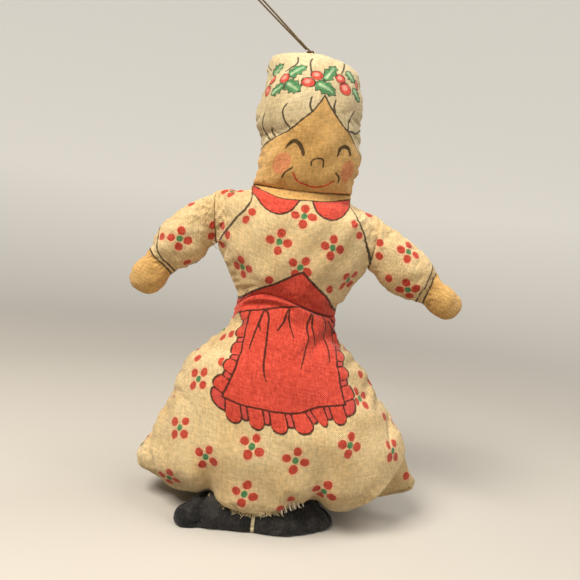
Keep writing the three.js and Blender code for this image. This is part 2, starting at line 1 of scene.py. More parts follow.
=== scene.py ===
import json
from functools import partial
import bpy
import numpy as np
from mathutils import Matrix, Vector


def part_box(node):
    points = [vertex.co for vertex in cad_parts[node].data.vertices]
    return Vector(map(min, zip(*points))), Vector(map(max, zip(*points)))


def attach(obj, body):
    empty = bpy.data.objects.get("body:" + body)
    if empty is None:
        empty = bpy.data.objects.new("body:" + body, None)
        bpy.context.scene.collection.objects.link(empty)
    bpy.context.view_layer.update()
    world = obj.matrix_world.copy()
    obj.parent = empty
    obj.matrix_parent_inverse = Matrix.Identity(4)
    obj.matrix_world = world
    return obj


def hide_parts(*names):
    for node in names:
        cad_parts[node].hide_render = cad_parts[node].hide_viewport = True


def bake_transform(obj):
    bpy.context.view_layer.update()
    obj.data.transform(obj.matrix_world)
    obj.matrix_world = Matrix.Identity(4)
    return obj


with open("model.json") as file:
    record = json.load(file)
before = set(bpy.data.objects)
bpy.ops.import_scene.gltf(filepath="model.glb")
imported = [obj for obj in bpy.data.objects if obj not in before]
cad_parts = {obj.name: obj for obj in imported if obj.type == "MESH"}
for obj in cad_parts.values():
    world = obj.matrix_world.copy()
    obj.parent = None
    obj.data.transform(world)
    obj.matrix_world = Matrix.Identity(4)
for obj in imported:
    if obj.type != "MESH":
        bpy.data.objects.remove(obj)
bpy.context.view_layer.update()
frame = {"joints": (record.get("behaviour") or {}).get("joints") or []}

# Lengths below are in mm, x counted from the doll's own middle; mm turns them into metres
mm = 0.001
jointAt = {joint["name"]: np.array(joint["pos_m"]) / mm for joint in frame["joints"]}
middle = jointAt["neck_nod"][0]
neckZ = jointAt["neck_nod"][2]
waistZ = jointAt["waist_bend"][2] + 1.6  # the narrowest place shows a little above the hinge
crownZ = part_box("head_front_panel")[1][2] / mm


def inFrame(points):  # doll millimetres to frame metres
    return (np.asarray(points, float) + np.array([middle, 0, 0])) * mm


def smoothStep(x, low, high):
    k = np.clip((x - low) / (high - low), 0, 1)
    return k * k * (3 - 2 * k)


def bump(x, centre, width):  # a smooth hill of height 1
    return np.exp(-(((x - centre) / width) ** 2))


# Camera, floor and light

cameraSettings = {
    "frame": 580,  # pixels across the picture
    "focal": 500,  # focal length in the same pixels
    "sensor": 36,
    "nearest": 5,
    "distance": 162,  # from the camera to the doll's seam plane
    "aim": (0.5, 0, 71),  # where the view meets that plane
    "pitch": 2.4,  # degrees down
    "roll": 6.5,  # degrees, so that the doll leans to the right
}


def standAt(item, place, right, up, away):
    matrix = np.eye(4)
    matrix[:3] = np.stack([right, up, away, inFrame(place)], axis=1)
    item.matrix_world = Matrix(matrix.tolist())
    bpy.context.scene.collection.objects.link(item)


def addCamera(settings):
    # looks along +Y, tipped down by the pitch, then turned about its own view by the roll
    pitch, roll = np.radians(settings["pitch"]), np.radians(settings["roll"])
    forward = np.array([0, np.cos(pitch), -np.sin(pitch)])
    level = np.array([1.0, 0, 0])
    upright = np.cross(level, forward)
    right = level * np.cos(roll) + upright * np.sin(roll)
    up = upright * np.cos(roll) - level * np.sin(roll)
    data = bpy.data.cameras.new("camera")
    data.sensor_width = settings["sensor"]
    data.lens = settings["sensor"] * settings["focal"] / settings["frame"]
    data.clip_start = settings["nearest"] * mm
    camera = bpy.data.objects.new("camera", data)
    standAt(camera, np.array(settings["aim"]) - forward * settings["distance"], right, up, -forward)
    bpy.context.scene.camera = camera


addCamera(cameraSettings)


def toLinear(code):  # sRGB hex to the linear colour that shaders take
    srgb = np.array([int(code[i:i + 2], 16) for i in (1, 3, 5)]) / 255
    linear = np.where(srgb <= 0.04045, srgb / 12.92, ((srgb + 0.055) / 1.055) ** 2.4)
    return (*linear.tolist(), 1.0)


def addNode(tree, kind, inputs=None, **settings):
    # an input may be a value, a socket, or a node whose first output in use is meant
    node = tree.nodes.new("ShaderNode" + kind)
    for key, value in settings.items():
        setattr(node, key, value)
    for key, value in (inputs or {}).items():
        if isinstance(value, bpy.types.Node):
            value = next(output for output in value.outputs if output.enabled)
        if isinstance(value, bpy.types.NodeSocket):
            tree.links.new(value, node.inputs[key])
        else:
            node.inputs[key].default_value = value
    return node


def newMaterial(name):
    material = bpy.data.materials.new(name)
    material.use_nodes = True
    material.node_tree.nodes.clear()
    return material, partial(addNode, material.node_tree)


lightSettings = {
    "floorColour": "#ccc8c0",
    "floorBounce": "#9a958c",  # what the floor throws back on to the doll
    "lamps": {
        "key": {"place": (-190, -215, 430), "size": 200, "power": 2.6, "colour": "#fff6ea"},
        "fill": {"place": (330, -330, 330), "size": 420, "power": 0.8, "colour": "#fff9f2"},
        "top": {"place": (280, 0, 600), "size": 300, "power": 1.5, "colour": "#fffaf4"},
    },
    "lampAim": (0, 0, 75),
    "world": 0.28,
    "worldColour": "#fffaf2",
    "floorGap": 0.05,  # the floor lies just under the soles
    "floorReach": 500,  # radius of the level floor
    "floorBend": 800,  # radius of its turn up into the backdrop
    "wall": 250,
    "glow": (250, 1100),  # radii between which the backdrop's paleness comes up
    "glowStrength": 0.85,
}


def floorPaper(settings):
    # matt paper, smooth: pale to the eye, and duller where it throws light back;
    # away from the doll it is paler still without lighting anything
    material, add = newMaterial("matt_paper_floor")
    path = add("LightPath").outputs
    seen = add("Math", {0: path["Is Camera Ray"], 1: path["Is Glossy Ray"]}, operation="ADD")
    seen = add("Math", {0: seen, 1: path["Is Transmission Ray"]}, operation="ADD", use_clamp=True)
    pale, bounce = toLinear(settings["floorColour"]), toLinear(settings["floorBounce"])
    shown = add("Mix", {0: seen, 6: bounce, 7: pale}, data_type="RGBA")
    place = add("TexCoord").outputs["Object"]
    away = add("VectorMath", {0: place}, operation="LENGTH")
    low, high = (radius * mm for radius in settings["glow"])
    ramp = {"Value": away, "From Min": low, "From Max": high, "To Max": settings["glowStrength"]}
    glow = add("Math", {0: add("MapRange", ramp), 1: seen}, operation="MULTIPLY")
    shine = {"Emission Color": pale, "Emission Strength": glow}
    shader = add("BsdfPrincipled", {"Base Color": shown, "Roughness": 0.9, **shine})
    add("OutputMaterial", {0: shader})
    return material


def addStage(settings):
    # floor: a level disc, a quarter turn up and a low wall, carried round the upright axis
    turn = np.linspace(0, np.pi / 2, 24)[:, None]
    bend, reach = settings["floorBend"], settings["floorReach"]
    radius = np.concatenate([[[1]], reach + bend * np.sin(turn), [[reach + bend]]])
    height = np.concatenate([[[0]], bend - bend * np.cos(turn), [[bend + settings["wall"]]]])
    angle = np.linspace(0, 2 * np.pi, 96, endpoint=False)[None]
    ring = (radius * np.cos(angle), radius * np.sin(angle), height - settings["floorGap"])
    floor = gridPiece("floor", np.stack(np.broadcast_arrays(*ring), -1), flip=True, closed=True)
    floor.data.materials.append(floorPaper(settings))
    for name, lamp in settings["lamps"].items():
        data = bpy.data.lights.new(name, "AREA")
        data.size = lamp["size"] * mm
        data.energy = lamp["power"]
        data.color = toLinear(lamp["colour"])[:3]
        away = np.subtract(lamp["place"], settings["lampAim"]).astype(float)
        away /= np.linalg.norm(away)
        side = np.cross([0, 0, 1.0], away)
        side /= np.linalg.norm(side)
        standAt(bpy.data.objects.new(name, data), lamp["place"], side, np.cross(away, side), away)
    world = bpy.data.worlds.new("room")
    world.use_nodes = True
    background = world.node_tree.nodes["Background"]
    background.inputs[0].default_value = toLinear(settings["worldColour"])
    background.inputs[1].default_value = settings["world"]
    bpy.context.scene.world = world
    bpy.context.scene.view_settings.view_transform = "Standard"


uvSpan = 100  # mm of cloth for one unit of a UV map


# A mesh from a grid of points: rows by columns of quads, with a flat-pattern UV map
# and one value per point for each layer
def gridPiece(name, points, flip, flat=None, layers=None, closed=False):
    rows, cols = points.shape[:2]
    index = np.arange(rows * cols).reshape(rows, cols)
    beside = np.roll(index, -1, axis=1) if closed else index[:, 1:]
    index = index if closed else index[:, :-1]
    corners = [index[:-1], beside[:-1], beside[1:], index[1:]]
    quads = np.stack(corners[::-1] if flip else corners, -1).reshape(-1, 4)
    return quadPiece(name, points.reshape(-1, 3), quads, flat, layers)


def quadPiece(name, points, quads, flat=None, layers=None):
    mesh = bpy.data.meshes.new(name)
    mesh.vertices.add(len(points))
    mesh.vertices.foreach_set("co", inFrame(points).astype(np.float32).ravel())
    mesh.loops.add(quads.size)
    mesh.loops.foreach_set("vertex_index", quads.astype(np.int32).ravel())
    mesh.polygons.add(len(quads))
    mesh.polygons.foreach_set("loop_start", np.arange(0, quads.size, 4, dtype=np.int32))
    mesh.polygons.foreach_set("use_smooth", np.ones(len(quads), bool))
    if flat is not None:
        uv = mesh.uv_layers.new(name="cloth")
        uv.data.foreach_set("uv", (flat.reshape(-1, 2)[quads.ravel()] / uvSpan).astype(np.float32).ravel())
    for layer, values in (layers or {}).items():
        attribute = mesh.attributes.new(layer, "FLOAT", "POINT")
        attribute.data.foreach_set("value", values.astype(np.float32).ravel())
    mesh.update(calc_edges=True)
    mesh.validate()
    piece = bpy.data.objects.new(name, mesh)
    bpy.context.scene.collection.objects.link(piece)
    return piece


def dressPiece(piece, material, nodes=(), body=None):
    # material, slot, the nodes that the piece stands for and the body that it rides with
    piece.data.materials.append(material)
    if nodes:
        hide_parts(*nodes)
    if body:
        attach(piece, body)
    return piece


# Threads carried along paths: a twisted two-ply section, radius times (0.84 + 0.16 |cos(turn - twist)|),
# round each path
def threadPiece(name, paths, radius, sides, lay, normal):
    paths = np.asarray(paths, float)
    count, steps = paths.shape[:2]
    tangent = np.gradient(paths, axis=1)
    tangent /= np.linalg.norm(tangent, axis=2, keepdims=True)
    side = np.cross(tangent, np.broadcast_to(normal, tangent.shape))
    side /= np.linalg.norm(side, axis=2, keepdims=True)
    up = np.cross(side, tangent)
    step = np.linalg.norm(np.diff(paths, axis=1), axis=2)
    along = np.pad(np.cumsum(step, axis=1), ((0, 0), (1, 0)))
    turn = np.arange(sides) * 2 * np.pi / sides
    ply = 0.84 + 0.16 * np.abs(np.cos(turn[None, None] - np.pi * along[..., None] / lay))
    ring = np.cos(turn)[:, None] * side[:, :, None] + np.sin(turn)[:, None] * up[:, :, None]
    ends = np.ones(steps)
    ends[[0, -1]] = 0.3
    points = paths[:, :, None] + ring * (radius * ply * ends[None, :, None])[..., None]
    index = np.arange(count * steps * sides).reshape(count, steps, sides)
    beside = np.roll(index, -1, axis=2)
    quads = np.stack([index[:, :-1], beside[:, :-1], beside[:, 1:], index[:, 1:]], -1).reshape(-1, 4)
    caps = [index[:, 0, ::-1].reshape(count, -1, 4), index[:, -1].reshape(count, -1, 4)] if sides == 4 else []
    quads = np.concatenate([quads] + [cap.reshape(-1, 4) for cap in caps])
    flat = np.stack(np.broadcast_arrays(turn[None, None] * radius, along[..., None]), -1)
    return quadPiece(name, points.reshape(-1, 3), quads, flat.reshape(-1, 2))


# Hanging thread: up one side of the loop and back down the other

threadSettings = {
    "diameter": 0.6,
    "knotSize": 2.2,
    "knotWide": 0.2,  # share of the knot's size for one unit of the trefoil
    "knotSink": 0.35,  # how far the knot is drawn into the seam
    "shift": -1.6,  # from the doll's middle to the knot
    "seamGap": 0.3,
    "lean": 50,  # degrees from upright
    "lay": 1.3,  # length of one turn of the plies
    "route": [  # along the loop and out to its side
        (0.3, 0.52), (2.6, 0.56), (5.6, 0.75), (8.6, 0.95), (11.6, 1.15), (14.6, 1.3), (17.6, 1.42),
        (20.6, 1.5), (23.6, 1.55), (26.1, 1.55), (27.8, 1.25), (28.8, 0.68), (29.1, 0),
    ],
    "tail": [(0.5, -0.5, 0.25), (-1.6, -1.0, 1.55), (-3.6, -1.1, 3.25), (-5.4, -0.9, 4.15)],  # from the knot
    "colour": "#7d6844",
    "shade": "#4f4029",
}


def refined(field, counts):
    # Catmull-Rom between evenly spaced values, one axis after another
    for axis, count in enumerate(counts):
        size = field.shape[axis]
        at = np.linspace(0, size - 1, count)
        i = np.clip(at.astype(int), 0, size - 2)
        k = (at - i).reshape([-1 if a == axis else 1 for a in range(field.ndim)])
        p, q, r, s = (np.take(field, np.clip(i + o, 0, size - 1), axis=axis) for o in (-1, 0, 1, 2))
        bend, twist = 2 * p - 5 * q + 4 * r - s, 3 * q - p - 3 * r + s
        field = 0.5 * (2 * q + (r - p) * k + bend * k ** 2 + twist * k ** 3)
    return field


def threadCotton(name, colour, shade, thickness):
    # spun and twisted cotton: matt, with darker lines between the plies
    material, add = newMaterial(name)
    place = add("TexCoord").outputs["Object"]
    fuzz = add("TexNoise", {"Vector": place, "Scale": 1 / (thickness * 0.6 * mm), "Detail": 3.0})
    mixed = add("Mix", {0: fuzz, 6: toLinear(shade), 7: toLinear(colour)}, data_type="RGBA")
    raised = add("Bump", {"Height": fuzz, "Strength": 0.5, "Distance": thickness * 0.2 * mm})
    finish = {"Roughness": 0.85, "Sheen Weight": 0.3, "Specular IOR Level": 0.2}
    shader = add("BsdfPrincipled", {"Base Color": mixed, "Normal": raised, **finish})
    add("OutputMaterial", {0: shader})
    return material


def addHangingThread(settings):
    size, half = settings["knotSize"], settings["diameter"] / 2
    seat = np.array([settings["shift"], 0, crownZ + settings["seamGap"] + size / 2])
    lean = np.radians(settings["lean"])
    way = np.array([-np.sin(lean), 0, np.cos(lean)])
    square = np.array([np.cos(lean), 0, np.sin(lean)])
    along, out = np.array(settings["route"]).T
    reach = np.concatenate([along, along[-2::-1]]) + size / 2 + settings["seamGap"]
    across = np.concatenate([-out, out[-2::-1]])
    path = refined(seat + reach[:, None] * way + across[:, None] * np.array([0, 1.0, 0]), (240,))
    material = threadCotton(
        "twisted_brown_thread", settings["colour"], settings["shade"], settings["diameter"],
    )
    loop = threadPiece("hanging_loop", path[None], half, 10, settings["lay"], square)
    dressPiece(loop, material, ["hanging_thread"], "head")
    # knot: a trefoil of the same thread, drawn tight, and a short tail
    turn = np.linspace(0, 2 * np.pi, 121)
    wide = size * settings["knotWide"]
    knot = wide * np.stack([
        np.sin(turn) + 1.5 * np.sin(2 * turn), 0.95 * np.sin(3 * turn), np.cos(turn) - 1.5 * np.cos(2 * turn),
    ], -1)
    tail = refined(np.array(settings["tail"]), (121,))
    paths = np.stack([knot, tail]) + seat - [0, 0, settings["knotSink"]]
    bound = threadPiece("crown_knot", paths, half, 8, settings["lay"], (0.3, 0.9, 0.2))
    dressPiece(bound, material, ["hanging_knot"], "head")


addStage(lightSettings)
addHangingThread(threadSettings)


# Cloth over stuffing: sections through stations, front and back grids, flat pattern

def through(at, values, x):
    # monotone cubic through the stations: harmonic mean of the slopes as tangent, none where they change sign
    at, values = np.asarray(at, float), np.asarray(values, float)
    slope = np.diff(values) / np.diff(at)
    product = slope[:-1] * slope[1:]
    total = np.where(product > 0, slope[:-1] + slope[1:], 1)
    tangent = np.concatenate([slope[:1], np.where(product > 0, 2 * product / total, 0), slope[-1:]])
    i = np.clip(np.searchsorted(at, x) - 1, 0, len(at) - 2)
    h = np.diff(at)[i]
    t = (x - at[i]) / h
    lead = t * (1 - t) ** 2 * h * tangent[i]
    trail = t * t * (t - 1) * h * tangent[i + 1]
    return values[i] + (values[i + 1] - values[i]) * t * t * (3 - 2 * t) + lead + trail


seamHalf = 0.05  # half the slit that shows between two sewn panels


def belly(u, power, square=2.2):  # depth share across a stuffed section, from seam to seam
    return np.clip(1 - np.abs(u) ** square, 0, 1) ** power


def evenAcross(count, depthShare, power):
    # shares of the half width from seam to seam, in even steps along the cloth
    u = np.sin(np.linspace(-np.pi / 2, np.pi / 2, 4001))
    length = np.cumsum(np.hypot(np.diff(u), np.diff(depthShare * belly(u, power))))
    return np.interp(np.linspace(0, length[-1], count), np.append(0, length), u)


def evenUp(stations, count):
    # heights in even steps along the cloth, between the run of the side seam and that of the middle
    at, wide, deep = np.array(stations, float).T[:3]
    z = np.linspace(at[0], at[-1], 4001)
    w, d = through(at, wide, z), through(at, deep, z)
    length = np.cumsum(np.sqrt(np.diff(z) ** 2 + 0.5 * np.diff(w) ** 2 + np.diff(d) ** 2))
    return np.interp(np.linspace(0, length[-1], count), np.append(0, length), z)


def uprightGrid(section, side, rows, cols, plain=False):
    # x = centre + half width u, y = half depth belly(u) and, near a seam, its edge, to the front or back,
    # z lifted by the warp; then dents and creases, unless plain
    z = evenUp(section["stations"], rows)
    at, wide, behind, centre, *before = np.array(section["stations"], float).T
    deep = before[0] if before and side < 0 else behind
    w, d, c = (through(at, v, z)[:, None] for v in (wide, deep, centre))
    u = evenAcross(cols, deep.max() / wide.max(), section["power"])[None]
    edge = section["edge"](z)[:, None] if "edge" in section else 0
    x = c + w * u
    full = belly(u, section["power"], section.get("square", 2.2))
    y = section.get("seamY", 0) + side * (seamHalf + d * full + edge * (1 - full) ** 3)
    lifted = z[:, None] + section["warp"](u, x, z[:, None], side)
    grid = np.stack([x, y, lifted], -1)
    return section["shape"](grid, u, side) if "shape" in section and not plain else grid


def normalsOf(grid, side):
    normal = np.cross(np.gradient(grid, axis=1), np.gradient(grid, axis=0))
    normal /= np.linalg.norm(normal, axis=2, keepdims=True) + 1e-9
    return normal * (1 if normal[..., 1].mean() * side > 0 else -1)


def flatOf(grid):
    # lengths along the cloth: s across from the middle column, t up to the last row, which is level
    across = np.pad(np.cumsum(np.linalg.norm(np.diff(grid, axis=1), axis=2), axis=1), ((0, 0), (1, 0)))
    up = np.pad(np.cumsum(np.linalg.norm(np.diff(grid, axis=0), axis=2), axis=0), ((1, 0), (0, 0)))
    centre = grid.shape[1] // 2
    return across - across[:, [centre]], up - up[-1:] + up[-1, centre]


def ripples(a, b, wavelength, seed, count=7):
    # a sum of waves that run every way, each of about the given length, between about -1 and 1
    rng = np.random.default_rng(seed)
    way = rng.uniform(0, 2 * np.pi, count)
    pitch = 2 * np.pi / (wavelength * rng.uniform(0.75, 1.35, count))
    phase = rng.uniform(0, 2 * np.pi, count)
    waves = [np.sin((a * np.cos(w) + b * np.sin(w)) * k + p) for w, k, p in zip(way, pitch, phase)]
    return sum(waves) / np.sqrt(count)


simSettings = {
    "grow": 10,  # the cloth settles at ten times its size
    "steps": 20,
    "quality": 6,
    "pressure": 3.0,
    "bending": 0.3,
    "cap": 2.0,  # the most that a point may move
}


def settled(name, ease, front, back):
    # one loop of cloth through the front and back grids, too large by the share of ease,
    # blown out by its stuffing with seams and ends held
    loop = np.concatenate([front, back[:, -2:0:-1]], axis=1)
    rows, cols = loop.shape[:2]
    held = np.zeros((rows, cols), bool)
    held[[0, -1]] = True
    held[:, [0, front.shape[1] - 1]] = True
    outward = np.cross(front[1:, :-1] - front[:-1, :-1], front[:-1, 1:] - front[:-1, :-1])[..., 1].mean() > 0
    bag = gridPiece(name, loop * simSettings["grow"], flip=not outward, closed=True)
    bag.vertex_groups.new(name="held").add(np.flatnonzero(held.ravel()).tolist(), 1.0, "REPLACE")
    cloth = bag.modifiers.new("cloth", "CLOTH")
    cloth.settings.quality = simSettings["quality"]
    cloth.settings.vertex_group_mass = "held"
    cloth.settings.use_pressure = True
    cloth.settings.uniform_pressure_force = simSettings["pressure"]
    cloth.settings.shrink_min = -ease
    cloth.settings.effector_weights.gravity = 0
    cloth.settings.bending_stiffness = simSettings["bending"]
    cloth.point_cache.frame_start = 1
    cloth.point_cache.frame_end = simSettings["steps"]
    for step in range(1, simSettings["steps"] + 1):
        bpy.context.scene.frame_set(step)
    shown = bag.evaluated_get(bpy.context.evaluated_depsgraph_get()).to_mesh()
    moved = np.empty(rows * cols * 3, np.float32)
    shown.vertices.foreach_get("co", moved)
    start = inFrame(loop * simSettings["grow"])
    move = (moved.reshape(rows, cols, 3) - start) / mm / simSettings["grow"]
    far = np.linalg.norm(move, axis=2, keepdims=True) + 1e-9
    move *= simSettings["cap"] * np.tanh(far / simSettings["cap"]) / far
    bpy.data.objects.remove(bag)
    bpy.context.scene.frame_set(1)
    print(name, "cloth settled, moved up to", round(float(far.max()), 2), "mm")
    wide = front.shape[1]
    behind = np.concatenate([move[:, :1], move[:, :wide - 2:-1]], axis=1)
    return move[:, :wide], behind


tuckSettings = {
    "depths": (0.5, 1.5),  # the two steps behind the edge
    "thin": 3,  # where the bag is thinner than this, less is turned in
    "least": 0.15,
}


def tucked(field, normals=None):
    # two more rows and columns at every edge; points turn in behind the cloth, other values are carried on
    near, deep = tuckSettings["depths"]
    for axis in (1, 0):
        size = field.shape[axis]
        ends = [np.take(field, [k], axis=axis) for k in (0, size - 1)]
        if normals is None:
            parts = [ends[0], ends[0], field, ends[1], ends[1]]
        else:
            ways = [np.take(normals, [k], axis=axis) for k in (0, size - 1)]
            low = [ends[0] - ways[0] * depth for depth in (deep, near)]
            high = [ends[1] - ways[1] * depth for depth in (near, deep)]
            parts = [*low, field, *high]
            normals = np.concatenate([ways[0], ways[0], normals, ways[1], ways[1]], axis=axis)
        field = np.concatenate(parts, axis=axis)
    return field


printLayers = ("ink", "red", "mauve", "petal", "green", "pale", "gleam", "skin", "rose")
nowhere = 50.0  # a distance at which no ink shows


def makePanel(grid, side, plain=None):
    s, t = flatOf(grid if plain is None else plain)
    paint = {layer: np.full(s.shape, 0.0 if layer == "rose" else nowhere) for layer in printLayers}
    return {"grid": grid, "side": side, "s": s, "t": t, "paint": paint, "relief": np.zeros(s.shape)}


sewingSettings = {
    "groove": (0.45, 0.7),  # depth and width along a seam
    "puckers": (0.8, 2.4),  # where they lie from the seam, and how wide
    "ends": (0.5, 3.5),  # towards a seam's end both fade between these lengths
    "lumpEdge": 6,  # lumps of stuffing fade towards the edges
}


def sewPuckers(panel, depth, wavelength, seed):
    # a groove along both side seams and short puckers beside it; both fade towards the seams' ends
    s, t = panel["s"], panel["t"]
    deep, wide = sewingSettings["groove"]
    fromSeam = np.minimum(s - s[:, :1], s[:, -1:] - s)
    ends = smoothStep(np.minimum(t - t[:1], t[-1:] - t), *sewingSettings["ends"])
    puckers = depth * ripples(t, s * 0.35, wavelength, seed) * bump(fromSeam, *sewingSettings["puckers"])
    panel["relief"] += ends * (puckers - deep * bump(fromSeam, 0, wide))


def stuffLumps(panel, depth, wavelength, seed):
    s, t = panel["s"], panel["t"]
    fromSeam = np.minimum(s - s[:, :1], s[:, -1:] - s)
    fromEdge = np.minimum(fromSeam, np.minimum(t - t[:1], t[-1:] - t))
    inner = smoothStep(fromEdge, 0, sewingSettings["lumpEdge"])
    panel["relief"] += depth * ripples(s, t, wavelength, seed) * inner


def finishPanel(panel, name, move, material):
    grid, side = panel["grid"], panel["side"]
    points = grid + normalsOf(grid, side) * panel["relief"][..., None] + refined(move, grid.shape[:2])
    flat = np.stack([tucked(panel["s"]), tucked(panel["t"])], -1)
    layers = {layer: tucked(values) for layer, values in panel["paint"].items()}
    inner = normalsOf(points, side)[2:-2, 2:-2]  # at the very edges a normal may be lost
    thickness = np.ptp(points[..., 1], axis=1)[:, None, None]
    room = np.clip(thickness / tuckSettings["thin"], tuckSettings["least"], 1)
    points = tucked(points, np.pad(inner, ((2, 2), (2, 2), (0, 0)), "edge") * room)
    points[..., 2] = points[..., 2].clip(0)  # nothing goes into the floor
    flow = np.cross(np.gradient(points, axis=1), np.gradient(points, axis=0))[..., 1].mean() * side
    piece = gridPiece(name, points, flow < 0, flat, layers)
    dressPiece(piece, material, [name + "_panel"])
    return piece


def sewBag(name, settings, gridOf, prints, material, patternOf=None):
    # a front and a back panel, settled together; each is printed, puckered at its seams and lumpy
    rows, cols = settings["rows"], settings["cols"]
    coarse = [gridOf(side, *settings["simGrid"]) for side in (-1, 1)]
    moves = settled(name + "_bag", settings["ease"], *coarse)
    pieces = []
    for k, (side, half) in enumerate(((-1, "front"), (1, "back"))):
        panel = makePanel(gridOf(side, rows, cols), side, patternOf and patternOf(side, rows, cols))
        prints[k](panel)
        sewPuckers(panel, *settings["puckers"], settings["seed"] + k)
        if "lumps" in settings:
            stuffLumps(panel, *settings["lumps"], settings["seed"] + k + 5)
        still = settings["still"](coarse[k]) if "still" in settings else 0
        pieces.append(finishPanel(panel, f"{name}_{half}", moves[k] * (1 - still), material))
    print(name, "done")
    return pieces


def bendBetween(piece):
    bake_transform(piece)


# Print: every shape is a distance in mm on the flat pattern, less than nothing inside it

def onCloth(panel, places):
    # places seen from the front, x and z, to the flat pattern of the point of the grid nearest to each
    x, z = panel["grid"][..., 0].ravel(), panel["grid"][..., 2].ravel()
    near = [int(np.argmin((x - px) ** 2 + (z - pz) ** 2)) for px, pz in places]
    return np.stack([panel["s"].ravel()[near], panel["t"].ravel()[near]], -1)


def curveOn(panel, places, steps=8):
    flat = onCloth(panel, places)
    return refined(flat, ((len(flat) - 1) * steps + 1,))


def reachOf(panel, line, widths=0.0):
    # least distance to a line of flat points, less its half width there
    given = np.atleast_1d(widths)
    widths = np.interp(np.linspace(0, 1, len(line)), np.linspace(0, 1, len(given)), given)
    s, t = panel["s"], panel["t"]
    best = np.full(s.shape, nowhere)
    for a, b, wa, wb in zip(line[:-1], line[1:], widths[:-1], widths[1:]):
        way = b - a
        k = np.clip(((s - a[0]) * way[0] + (t - a[1]) * way[1]) / max(way @ way, 1e-9), 0, 1)
        far = np.hypot(s - a[0] - k * way[0], t - a[1] - k * way[1])
        best = np.minimum(best, far - (wa + k * (wb - wa)) / 2)
    return best


def areaOf(panel, outline):
    # distance to a closed outline, negative where a line to the side crosses it an odd number of times
    outline = np.concatenate([outline, outline[:1]])
    s, t = panel["s"], panel["t"]
    inside = np.zeros(s.shape, bool)
    for a, b in zip(outline[:-1], outline[1:]):
        if a[1] != b[1]:
            crossing = (a[1] > t) != (b[1] > t)
            inside ^= crossing & (s < a[0] + (t - a[1]) * (b[0] - a[0]) / (b[1] - a[1]))
    far = reachOf(panel, outline)
    return np.where(inside, -far, far)


def aroundOf(panel, place):
    # lengths across and up the cloth from the point of the grid nearest to a place seen from the front
    x, z = panel["grid"][..., 0], panel["grid"][..., 2]
    return spreadFrom(panel, int(np.argmin((x - place[0]) ** 2 + (z - place[1]) ** 2)))


def spreadFrom(panel, near):
    # chords from one point, turned into the plane of the cloth there
    grid = panel["grid"]
    row, col = np.unravel_index(near, grid.shape[:2])
    right = grid[row, min(col + 1, grid.shape[1] - 1)] - grid[row, max(col - 1, 0)]
    up = grid[min(row + 1, grid.shape[0] - 1), col] - grid[max(row - 1, 0), col]
    right = right / np.linalg.norm(right)
    up = up - right * (up @ right)
    chord = grid - grid[row, col]
    plane = np.stack([chord @ right, chord @ up / np.linalg.norm(up)])
    return plane * np.linalg.norm(chord, axis=2) / (np.hypot(*plane) + 1e-9)


def ovalOf(around, long, wide, turn, offset=(0, 0)):
    c, n = np.cos(turn), np.sin(turn)
    ds, dt = around[0] - offset[0], around[1] - offset[1]
    return (np.hypot((ds * c + dt * n) / long, (dt * c - ds * n) / wide) - 1) * min(long, wide)


flatWide, flatLow, flatHigh = 60, -60, 140  # outside the flat pattern of any panel


def beyond(panel, line, far):
    # the cloth on one side of a line from seam to seam, above it or below it
    corners = [[flatWide, line[-1, 1]], [flatWide, far], [-flatWide, far], [-flatWide, line[0, 1]]]
    return areaOf(panel, np.concatenate([line, corners]))


def lay(panel, layer, distance):
    panel["paint"][layer] = np.minimum(panel["paint"][layer], distance)


def clear(panel, distance, *layers):  # nothing of these layers shows inside the area
    for layer in layers:
        panel["paint"][layer] = np.maximum(panel["paint"][layer], -distance)


def draw(panel, places, widths=0.5, layer="ink"):
    lay(panel, layer, reachOf(panel, curveOn(panel, places), widths))


flowerSettings = {
    "petalReach": 2.5,
    "petal": (1.34, 1.2),
    "heart": (1.0, 0.92),
    "strayPetal": (1.3, 1.15),
    "lean": 0.09,  # a petal's angle, reach and size vary by these, and it rolls about its own middle
    "reachSpread": (0.93, 1.08),
    "sizeSpread": (0.93, 1.06),
    "roll": 0.5,
    "rowStart": 0.45,  # shares of the spacing between scattered flowers
    "rowStep": 0.8,
    "wander": 1.3,
}


def flowerAt(panel, around, turn, rng):
    settings = flowerSettings
    for k in range(4):
        angle = turn + k * np.pi / 2 + rng.uniform(-settings["lean"], settings["lean"])
        reach = settings["petalReach"] * rng.uniform(*settings["reachSpread"])
        long, wide = np.array(settings["petal"]) * rng.uniform(*settings["sizeSpread"])
        petal = (reach * np.cos(angle), reach * np.sin(angle))
        roll = rng.uniform(-settings["roll"], settings["roll"])
        lay(panel, "petal", ovalOf(around, long, wide, angle + roll, petal))
    lay(panel, "green", ovalOf(around, *settings["heart"], turn))


def flowersOn(panel, places, seed):
    rng = np.random.default_rng(seed)
    for x, z, turn in places:
        flowerAt(panel, aroundOf(panel, (x, z)), np.radians(turn), rng)


def petalsOn(panel, places):
    for place in places:
        lay(panel, "petal", ovalOf(aroundOf(panel, place), *flowerSettings["strayPetal"], place[0]))


def scatterFlowers(panel, spacing, seed):
    # staggered rows over the flat pattern, each flower a little off its place and turned at will
    rng = np.random.default_rng(seed)
    s, t = panel["s"], panel["t"]
    start, step, wander = (flowerSettings[key] for key in ("rowStart", "rowStep", "wander"))
    for row, height in enumerate(np.arange(t.min() + spacing * start, t.max(), spacing * step)):
        for place in np.arange(s.min() + (row % 2) * spacing / 2, s.max(), spacing):
            ds, dt = rng.uniform(-wander, wander, 2)
            far = (s - place - ds) ** 2 + (t - height - dt) ** 2
            if far.min() < 1:
                near = int(np.argmin(far))
                flowerAt(panel, spreadFrom(panel, near), rng.uniform(0, np.pi / 2), rng)


# Materials of the cloth

